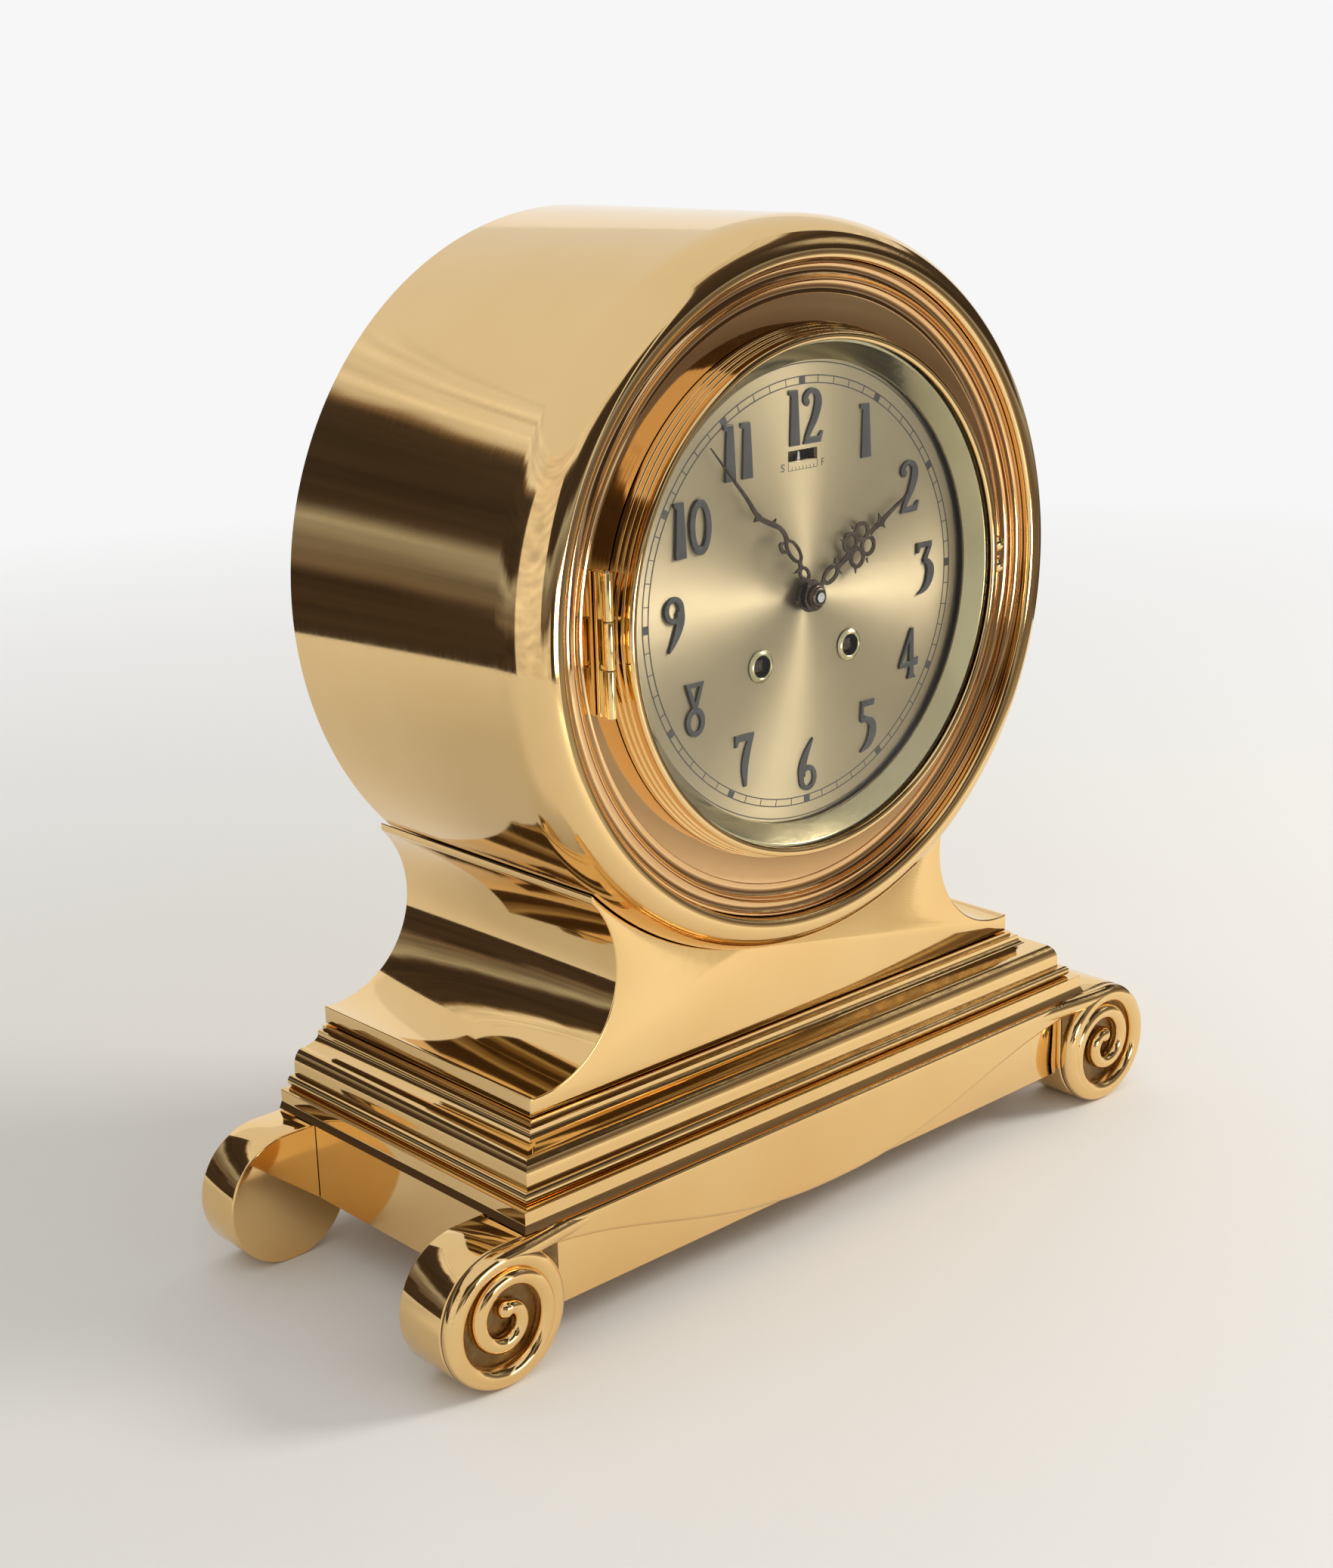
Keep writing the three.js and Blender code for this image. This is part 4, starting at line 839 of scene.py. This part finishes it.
# Each figure is one unit tall; each entry is a cut piece, with its holes after it
tail = stroke((0.15, 1, 0.012), (0.05, 0.86, 0.05), (-0.08, 0.64, 0.08), (-0.15, 0.44, 0.09), (-0.15, 0.28, 0.085))
ringLoop = loop((0, 0.25, 0.235, 0.25), (0.01, 0.245, 0.12, 0.15))
figures = {
    "0": [loop((0, 0.5, 0.26, 0.5), (0, 0.5, 0.135, 0.36))],
    "1": [[[(-0.13, 0), (0.13, 0), (0.085, 1), (-0.15, 1), (-0.15, 0.92), (-0.085, 0.9)]]],
    "2": [stroke((-0.19, 0.74, 0.05), (-0.17, 0.86, 0.06), (-0.04, 0.955, 0.045), (0.11, 0.89, 0.07),
                 (0.15, 0.72, 0.09), (0.06, 0.46, 0.08), (-0.08, 0.24, 0.06), (-0.17, 0.08, 0.05)),
          [[(-0.25, 0), (0.2, 0), (0.27, 0.2), (0.22, 0.2), (0.13, 0.115), (-0.19, 0.115)]],
          [ellipse(-0.15, 0.76, 0.075, 0.08)]],
    "3": [[[(-0.22, 1), (0.2, 1), (0.19, 0.9), (-0.13, 0.9), (-0.16, 0.8), (-0.22, 0.8)]],
          stroke((0.17, 0.95, 0.045), (0.09, 0.8, 0.05), (0, 0.64, 0.05)),
          stroke((-0.03, 0.62, 0.03), (0.08, 0.6, 0.065), (0.17, 0.45, 0.095), (0.13, 0.25, 0.09), (0, 0.08, 0.06),
                 (-0.2, 0, 0.015))],
    "4": [[[(0.06, 1), (0.12, 1), (0.12, 0.37), (0.25, 0.4), (0.23, 0.25), (0.12, 0.24), (0.12, 0.1), (0.18, 0),
            (-0.06, 0), (0, 0.1), (0, 0.24), (-0.28, 0.24), (-0.28, 0.3)],
           [(0, 0.74), (0, 0.355), (-0.175, 0.355)]]],
    "5": [[[(-0.16, 1), (0.21, 1), (0.18, 0.88), (-0.09, 0.88), (-0.11, 0.6), (-0.19, 0.6)]],
          stroke((-0.16, 0.6, 0.03), (-0.02, 0.63, 0.06), (0.13, 0.53, 0.09), (0.14, 0.33, 0.1),
                 (0.03, 0.13, 0.075), (-0.19, 0, 0.015))],
    "6": [tail, ringLoop],
    "7": [[[(-0.23, 1), (0.25, 1), (0.25, 0.94), (0.14, 0.86), (-0.14, 0.87), (-0.18, 0.78), (-0.23, 0.78)]],
          stroke((0.19, 0.95, 0.055), (0.07, 0.66, 0.08), (0, 0.36, 0.08), (0, 0, 0.035))],
    "8": [[[(-0.22, 1), (0.23, 1), (0.05, 0.5), (-0.05, 0.5)], [(-0.105, 0.915), (0.115, 0.915), (0.005, 0.64)]],
          loop((0, 0.275, 0.23, 0.275), (0, 0.265, 0.122, 0.165))],
}
figures["9"] = [[[(-x, 1 - z) for x, z in outline] for outline in piece] for piece in figures["6"]]
numeralSizes = {"circle": 55, "tall": 16.8, "thick": 0.8, "edge": 0.18,
                "apart": {"10": 0.48, "11": 0.42, "12": 0.46}}


def cutParts(name, parts, thickness, edge, front, sink=0.012):
    # each part is a little thinner than the last, so that no two faces lie in one plane
    made = [flatCurve(name + str(i), outlines, thickness - sink * i, edge, front + sink * i)
            for i, outlines in enumerate(parts)]
    joinInto(made[0], made[1:]).name = name
    return made[0]


def numeral(hour, n):
    text = str(hour)
    turn = math.radians(30 * hour)
    tall, across, up = n["tall"], n["circle"] * math.sin(turn), n["circle"] * math.cos(turn)
    parts = []
    for i, digit in enumerate(text):
        shift = (i - (len(text) - 1) / 2) * n["apart"].get(text, 0)
        parts += [[[(across + (x + shift) * tall, up + (z - 0.5) * tall) for x, z in outline] for outline in piece]
                  for piece in figures[digit]]
    return cutParts("numeral" + text, parts, n["thick"], n["edge"], dialSizes["front"] - n["thick"])


def inkFinish(name, spec):
    tree, shader = newMaterial(name)
    clouds = patternOn(tree, spec["cloudScale"])
    fill(shader, {"Base Color": tint(tree, clouds, spec), "Roughness": spread(tree, clouds, *spec["roughness"]),
                  "Coat Weight": spec["coat"], "Coat Roughness": 0.08})


inkFinish("blackEnamel", {"light": (0.022, 0.02, 0.018), "dark": (0.014, 0.013, 0.012), "cloudScale": 60,
                          "roughness": (0.34, 0.4), "coat": 0.1})
inkFinish("blackInk", {"light": (0.035, 0.032, 0.028), "dark": (0.018, 0.017, 0.015), "cloudScale": 600,
                       "roughness": (0.45, 0.65), "coat": 0})
for hour in range(1, 13):
    placePiece(numeral(hour, numeralSizes), "blackEnamel", "case")
print("numerals made")

# Printed lines: the minute track with its ticks and squares, a thin border, and the regulator's scale

printSizes = {
    "track": (64.9, 67.2), "line": 0.34, "border": 71.2, "tick": 0.28, "square": 1.3, "film": 0.06, "clear": 0.01,
    "scaleZ": 40.3, "scaleWide": 12.6, "scaleTall": 2.6, "scaleTicks": 9, "scaleLine": 0.16, "scaleTick": 1.1,
    "letters": 2.4}
slowLetter = [(0.9, 0.75, 0.16), (0.3, 1.05, 0.16), (-0.45, 0.8, 0.18), (-0.3, 0.25, 0.2), (0.45, -0.15, 0.2),
              (0.55, -0.7, 0.18), (-0.1, -1.05, 0.16), (-0.8, -0.75, 0.16)]
fastLetter = [(-0.6, -1.1), (-0.25, -1.1), (-0.25, -0.15), (0.4, -0.15), (0.4, 0.15), (-0.25, 0.15), (-0.25, 0.8),
              (0.65, 0.8), (0.65, 1.1), (-0.6, 1.1)]


def spoke(angle, r0, r1, half):
    turn = math.radians(angle)
    along, across = Vector((math.sin(turn), math.cos(turn))), Vector((math.cos(turn), -math.sin(turn)))
    return [tuple(along * r + across * s) for r, s in ((r0, -half), (r0, half), (r1, half), (r1, -half))]


def dialLines(p):
    # three thin circles, then the ticks and squares between two of them
    low, high = p["track"]
    half = p["line"] / 2
    parts = [[ellipse(0, 0, r + half, r + half, 240), ellipse(0, 0, r - half, r - half, 240)]
             for r in (low, high, p["border"])]
    start, end = low + half + p["clear"], high - half - p["clear"]
    ticks = [spoke(6 * i, start, end, p["tick"] / 2 if i % 5 else p["square"]) for i in range(60)]
    return parts + [ticks]


def scaleLines(p):
    half, middle, thin, last = p["scaleWide"] / 2, p["scaleZ"], p["scaleLine"], p["scaleTicks"] - 1
    top, bottom = middle + p["scaleTall"] / 2, middle - p["scaleTall"] / 2
    lines = [[(-half, bottom), (half, bottom), (half, bottom + thin), (-half, bottom + thin)]]
    for i in range(last + 1):
        x = -half + thin / 2 + (p["scaleWide"] - thin) * i / last
        left, right, foot = x - thin / 2, x + thin / 2, bottom + thin + p["clear"]
        tall = top if i in (0, last) else bottom + p["scaleTick"]
        lines.append([(left, foot), (right, foot), (right, tall), (left, tall)])
    lines.append(strokeOutline([(x - half - p["letters"], z + middle, w) for x, z, w in slowLetter]))
    return lines + [[(x + half + p["letters"], z + middle) for x, z in fastLetter]]


film = printSizes["film"]
printed = [flatCurve("dialPrint" + str(i), part, film, 0, dialSizes["front"] - film, resolution=0)
           for i, part in enumerate(dialLines(printSizes) + [scaleLines(printSizes)])]
joinInto(printed[0], printed[1:]).name = "dialPrint"
placePiece(printed[0], "blackInk", "case")

# Hands: pierced blades with curls and spurs, drawn pointing up and turned to the time

handSizes = {"hour": {"angle": 60, "front": -53.7}, "minute": {"angle": -40, "front": -55.6},
             "thick": 0.7, "edge": 0.14}
hourParts = [
    [ellipse(0, 0, 5.2, 5.2, 64), ellipse(0, 0, 3.05, 3.05, 48)],
    stroke((0, 4.6, 1.5), (0, 6, 0.8), (0, 7.2, 0.9)),
    loop((0, 10.4, 2.7, 4.1), (0, 10.4, 1.35, 2.7)),
    [[(-1.6, 13), (-3.3, 14.6), (-1, 14.4), (0, 15.2), (1, 14.4), (3.3, 14.6), (1.6, 13)]],
    stroke((0, 13.8, 1.2), (0, 16, 0.75), (0, 19, 1.1), (0, 20.5, 1.5)),
    *(loop((x, 22.6, 3.5, 3.5), (x, 22.6, 2.1, 2.1)) for x in (-3, 3)),
    *(loop((x, 28.4, 3.4, 3.5), (x, 28.4, 2, 2.1)) for x in (-2.8, 2.8)),
    *([[(5.8 * side, 20.6), (7 * side, 19.4), (5 * side, 19.9)]] for side in (-1, 1)),
    *([[(6 * side, 25.5), (7.6 * side, 25.5), (6 * side, 26.4)]] for side in (-1, 1)),
    stroke((0, 30.2, 1.6), (0, 32.5, 0.8), (0, 35.4, 1), (0, 37.2, 1.6), (0, 39.4, 0.9), (0, 46, 0.6),
           (0, 52, 0.12)),
    [[(-1, 36.2), (-3.1, 37.6), (-1, 38), (1, 38), (3.1, 37.6), (1, 36.2)]],
]
minuteParts = [
    [ellipse(0, 0, 4.6, 4.6, 64), ellipse(0, 0, 1.9, 1.9, 40)],
    stroke((0.6, 4, 1.3), (1, 5.2, 0.8), (1.2, 6.2, 0.8)),
    loop((1.5, 8.9, 2.1, 3), (1.5, 8.9, 1.05, 1.8)),
    [[(0.2, 11), (-1.6, 12.6), (1, 12.2), (2.8, 12.6), (2.4, 11.2)]],
    stroke((1.8, 11.4, 0.9), (2.2, 12.6, 0.75), (2.6, 13.4, 0.8)),
    loop((3, 17.8, 2.4, 5.1), (3.1, 17.8, 1.3, 3.8)),
    stroke((1.4, 19.5, 0.5), (-0.2, 21.4, 0.6), (0.4, 23.6, 0.6), (1.9, 23, 0.45)),
    stroke((3.2, 22.4, 0.9), (3.9, 25, 0.75), (3.6, 28, 0.75), (2, 31.6, 0.85), (0.4, 35.2, 0.8),
           (-0.2, 39, 0.75), (0.2, 45, 0.6), (0.1, 54, 0.45), (0, 67, 0.14)),
    [[(2.6, 29.6), (4.6, 31.2), (2, 31.8)]], [[(0, 35.4), (-2.6, 37.4), (-0.4, 38.4)]],
]


def turnedHand(name, parts, spec):
    turn = math.radians(spec["angle"])
    cosT, sinT = math.cos(turn), math.sin(turn)
    placed = [[[(x * cosT + z * sinT, z * cosT - x * sinT) for x, z in outline] for outline in part]
              for part in parts]
    return cutParts(name, placed, handSizes["thick"], handSizes["edge"], spec["front"])


for hand, parts in (("hour", hourParts), ("minute", minuteParts)):
    placePiece(turnedHand(hand + "Hand", parts, handSizes[hand]), "darkSteel", hand, [hand + "_hand"])
nutOutline = [(1.9, -55.9), (3.7, -55.9), (3.7, -56.5), (3.2, -56.8), (3, -57.3), (2.3, -57.6), (1.9, -57.55)]
nut = turned("handNut", rounded(nutOutline, 0.2, steps=3), steps=64)
placePiece(nut, "darkSteel", "minute", ["hand_nut"])
print("hands made")

# Pieces that stay as they are get their finishes

nodeFinishes = {
    "polishedBronze": "right_side_panel left_side_panel rear_apron",
    "movementBrass": "movement_front_plate movement_back_plate going_barrel strike_barrel minute_wheel hour_wheel "
                     "third_wheel hammer_wheel escapement_platform balance_wheel",
    "turnedSteel": "movement_pillar_1 movement_pillar_2 movement_pillar_3 movement_pillar_4 centre_arbor hammer "
                   "bell_post regulator_index front_base_bolt rear_base_bolt front_base_nut rear_base_nut",
    "darkSteel": "going_winding_arbor strike_winding_arbor",
    "yellowBrass": "bell",
}
for finish, names in nodeFinishes.items():
    for name in names.split():
        dress(bpy.data.objects[name], finish)

# Stage: a pale floor that curves up all round, glowing walls seen only in the polish that paint its reflections, and
# soft light

stageSizes = {"flat": 1.9, "curve": 1.1, "wall": 1.6, "floor": (0.78, 0.775, 0.76), "white": 0.93,
              "fade": (0.34, 1.35), "world": 0.78}


def paleFloor(s):
    flat, curve = s["flat"], s["curve"]
    outline = [(0, 0), (flat / 2, 0), *arcPoints(flat, curve, curve, curve, -90, 0, 24), (flat + curve, s["wall"])]
    piece = spun("paleFloor", [(r / mm, 0, z / mm) for r, z in outline], 96, (0, 0, 0), (0, 0, 1), closed=False)
    bpy.ops.object.shade_smooth()
    paperFinish("palePaper", s)
    dress(piece, "palePaper")


def paperFinish(name, s):
    tree, shader = newMaterial(name)
    colours = {"light": s["floor"], "dark": [0.985 * v for v in s["floor"]]}
    fill(shader, {"Base Color": tint(tree, patternOn(tree, 900), colours), "Roughness": 0.7,
                  "Specular IOR Level": 0.15})
    # far from the clock the paper goes evenly white, near it the paper keeps its shadows
    away = addNode(tree, "VectorMath", {0: objectPlace(tree)}, operation="LENGTH").outputs["Value"]
    share = mathNode(tree, "MULTIPLY", spread(tree, away, 0, 1, *s["fade"]), rayKinds(tree))
    glow = addNode(tree, "Emission", {"Strength": s["white"]})
    mixShaders(tree, share, shader, glow)


def rayKinds(tree):
    # 1 where the camera, a reflection or the glass looks, 0 for the light that falls on things
    path = addNode(tree, "LightPath", {}).outputs
    first = mathNode(tree, "MAXIMUM", path["Is Camera Ray"], path["Is Glossy Ray"])
    return mathNode(tree, "MAXIMUM", first, path["Is Transmission Ray"])


# painted reflections round the table, on glowing walls seen only in the polish: where each wall runs, and [height in
# m, colour], wavy along its length
roomSizes = {"eye": 0.2, "wave": 0.1, "waveScale": 2.4, "streakScale": 3, "streaks": (0.72, 1.28),
             "radius": 0.75, "height": 0.8}
wallBands = [
    (-0.03, (0.16, 0.13, 0.11)), (0.03, (0.2, 0.19, 0.18)), (0.09, (0.4, 0.41, 0.4)), (0.135, (0.08, 0.06, 0.05)),
    (0.16, (0.045, 0.034, 0.028)), (0.4, (0.055, 0.042, 0.034)), (0.425, (0.2, 0.14, 0.09)),
    (0.45, (0.78, 0.77, 0.75))]
highBands = wallBands[:5] + [(0.8, (0.06, 0.045, 0.036)), (1.05, (0.11, 0.08, 0.06)), (1.15, (0.7, 0.68, 0.65))]
paleBands = [(0, (0.84, 0.8, 0.75)), (0.38, (0.78, 0.72, 0.66))]
darkFoot = [(0, (0.05, 0.037, 0.03)), (0.13, (0.055, 0.04, 0.032))]
paleFoot = [(0, (0.72, 0.69, 0.64)), (0.09, (0.7, 0.67, 0.62)), (0.14, (0.12, 0.09, 0.07))]
# painted shade: the close wall's foot is painted as shaded paper for the reflections
shadedFoot = [(0, (0.66, 0.62, 0.56)), (0.05, (0.42, 0.38, 0.32)), (0.12, (0.15, 0.12, 0.1))]
# dark bands are painted shade and pale bands are painted highlights in the polish; the pale wall paints the
# highlight stripe down the roll's left side
paintedReflectionWalls = [
    ("leftWall", (100, 170), darkFoot, wallBands), ("paleWall", (170, 218), paleFoot[:1], paleBands),
    ("nearWall", (218, 250), paleFoot, wallBands), ("frontWall", (250, 285), darkFoot, wallBands),
    ("closeWall", (285, 350), shadedFoot, highBands, 0.5, 1.2), ("rightWall", (350, 375), darkFoot, wallBands)]


# each wall is a sheet that glows though it is no lamp, seen only in reflections; its colour bands are painted
# reflections
def dimRoom(s, name, azimuth, foot, upper, radius=roomSizes["radius"], height=roomSizes["height"]):
    points = arcPoints(0, 0, radius / mm, radius / mm, *azimuth, 24)
    piece = drawLine(name, [(x, y, 5) for x, y in points])
    selectAll()
    bpy.ops.mesh.extrude_edges_move(TRANSFORM_OT_translate={"value": (0, 0, height)})
    closeUp()
    bands = foot + [(s["eye"] + z * radius / s["radius"], colour) for z, colour in upper]
    roomFinish(name + "Look", s, bands)
    dress(piece, name + "Look")
    piece.visible_camera = piece.visible_diffuse = piece.visible_shadow = piece.visible_transmission = False


def roomFinish(name, s, bands):
    # painted reflection: glow colour in bands by height, with painted streaks in its strength
    tree, glow = newMaterial(name, "Emission")
    up = addNode(tree, "SeparateXYZ", {"Vector": objectPlace(tree)}).outputs["Z"]
    wave = patternOn(tree, s["waveScale"], (1, 1, 0.3), detail=4)
    height = mathNode(tree, "ADD", up, spread(tree, wave, -s["wave"] / 2, s["wave"] / 2))
    streaks = patternOn(tree, s["streakScale"], (1, 1, 14), detail=5)
    fill(glow, {"Color": colourRamp(tree, height, bands), "Strength": spread(tree, streaks, *s["streaks"])})


def softLamp(name, place, aim, size, power, colour):
    light = bpy.data.lights.new(name, "AREA")
    light.shape = "RECTANGLE"
    light.size, light.size_y = size
    light.energy = power
    light.color = colour
    lamp = bpy.data.objects.new(name, light)
    bpy.context.scene.collection.objects.link(lamp)
    lamp.location = place
    lamp.rotation_euler = (Vector(aim) - Vector(place)).to_track_quat("-Z", "Y").to_euler()
    lamp.visible_camera = False


def paleWorld(strength):
    world = bpy.data.worlds.new("paleWorld")
    bpy.context.scene.world = world
    world.use_nodes = True
    fill(world.node_tree.nodes["Background"], {"Color": (1, 0.99, 0.97, 1), "Strength": strength})


paleFloor(stageSizes)
for wall in paintedReflectionWalls:
    dimRoom(roomSizes, *wall)
softLamp("rightWindow", (1.3, -0.85, 0.95), (0, 0, 0.15), (0.5, 0.5), 18, (1, 0.95, 0.87))
softLamp("lowCard", (0.08, -0.68, 0.1), (0, 0, 0.2), (0.26, 0.12), 0.9, (1, 0.95, 0.84))
paleWorld(stageSizes["world"])
print("stage made")

# Camera: stands to the left in front and a little above, as the photograph was taken

cameraSizes = {"place": (-0.52236, -0.5594, 0.37293), "look": (0.64364, 0.70826, -0.29), "roll": -1.56,
               "lens": 54.53, "sensor": 36}


def placeCamera(place, look, roll, lens, sensor):
    look = Vector(look).normalized()
    right = look.cross(Vector((0, 0, 1))).normalized()
    up = right.cross(look)
    cosR, sinR = math.cos(math.radians(roll)), math.sin(math.radians(roll))
    sides = right * cosR + up * sinR, up * cosR - right * sinR, -look
    camera = bpy.data.cameras.new("camera")
    camera.sensor_fit = "AUTO"
    camera.sensor_width = sensor
    camera.lens = lens
    camera.clip_start = 0.01
    holder = bpy.data.objects.new("camera", camera)
    bpy.context.scene.collection.objects.link(holder)
    holder.matrix_world = Matrix.Translation(place) @ Matrix(sides).transposed().to_4x4()
    bpy.context.scene.camera = holder


placeCamera(**cameraSizes)
bpy.context.scene.view_settings.view_transform = "Standard"
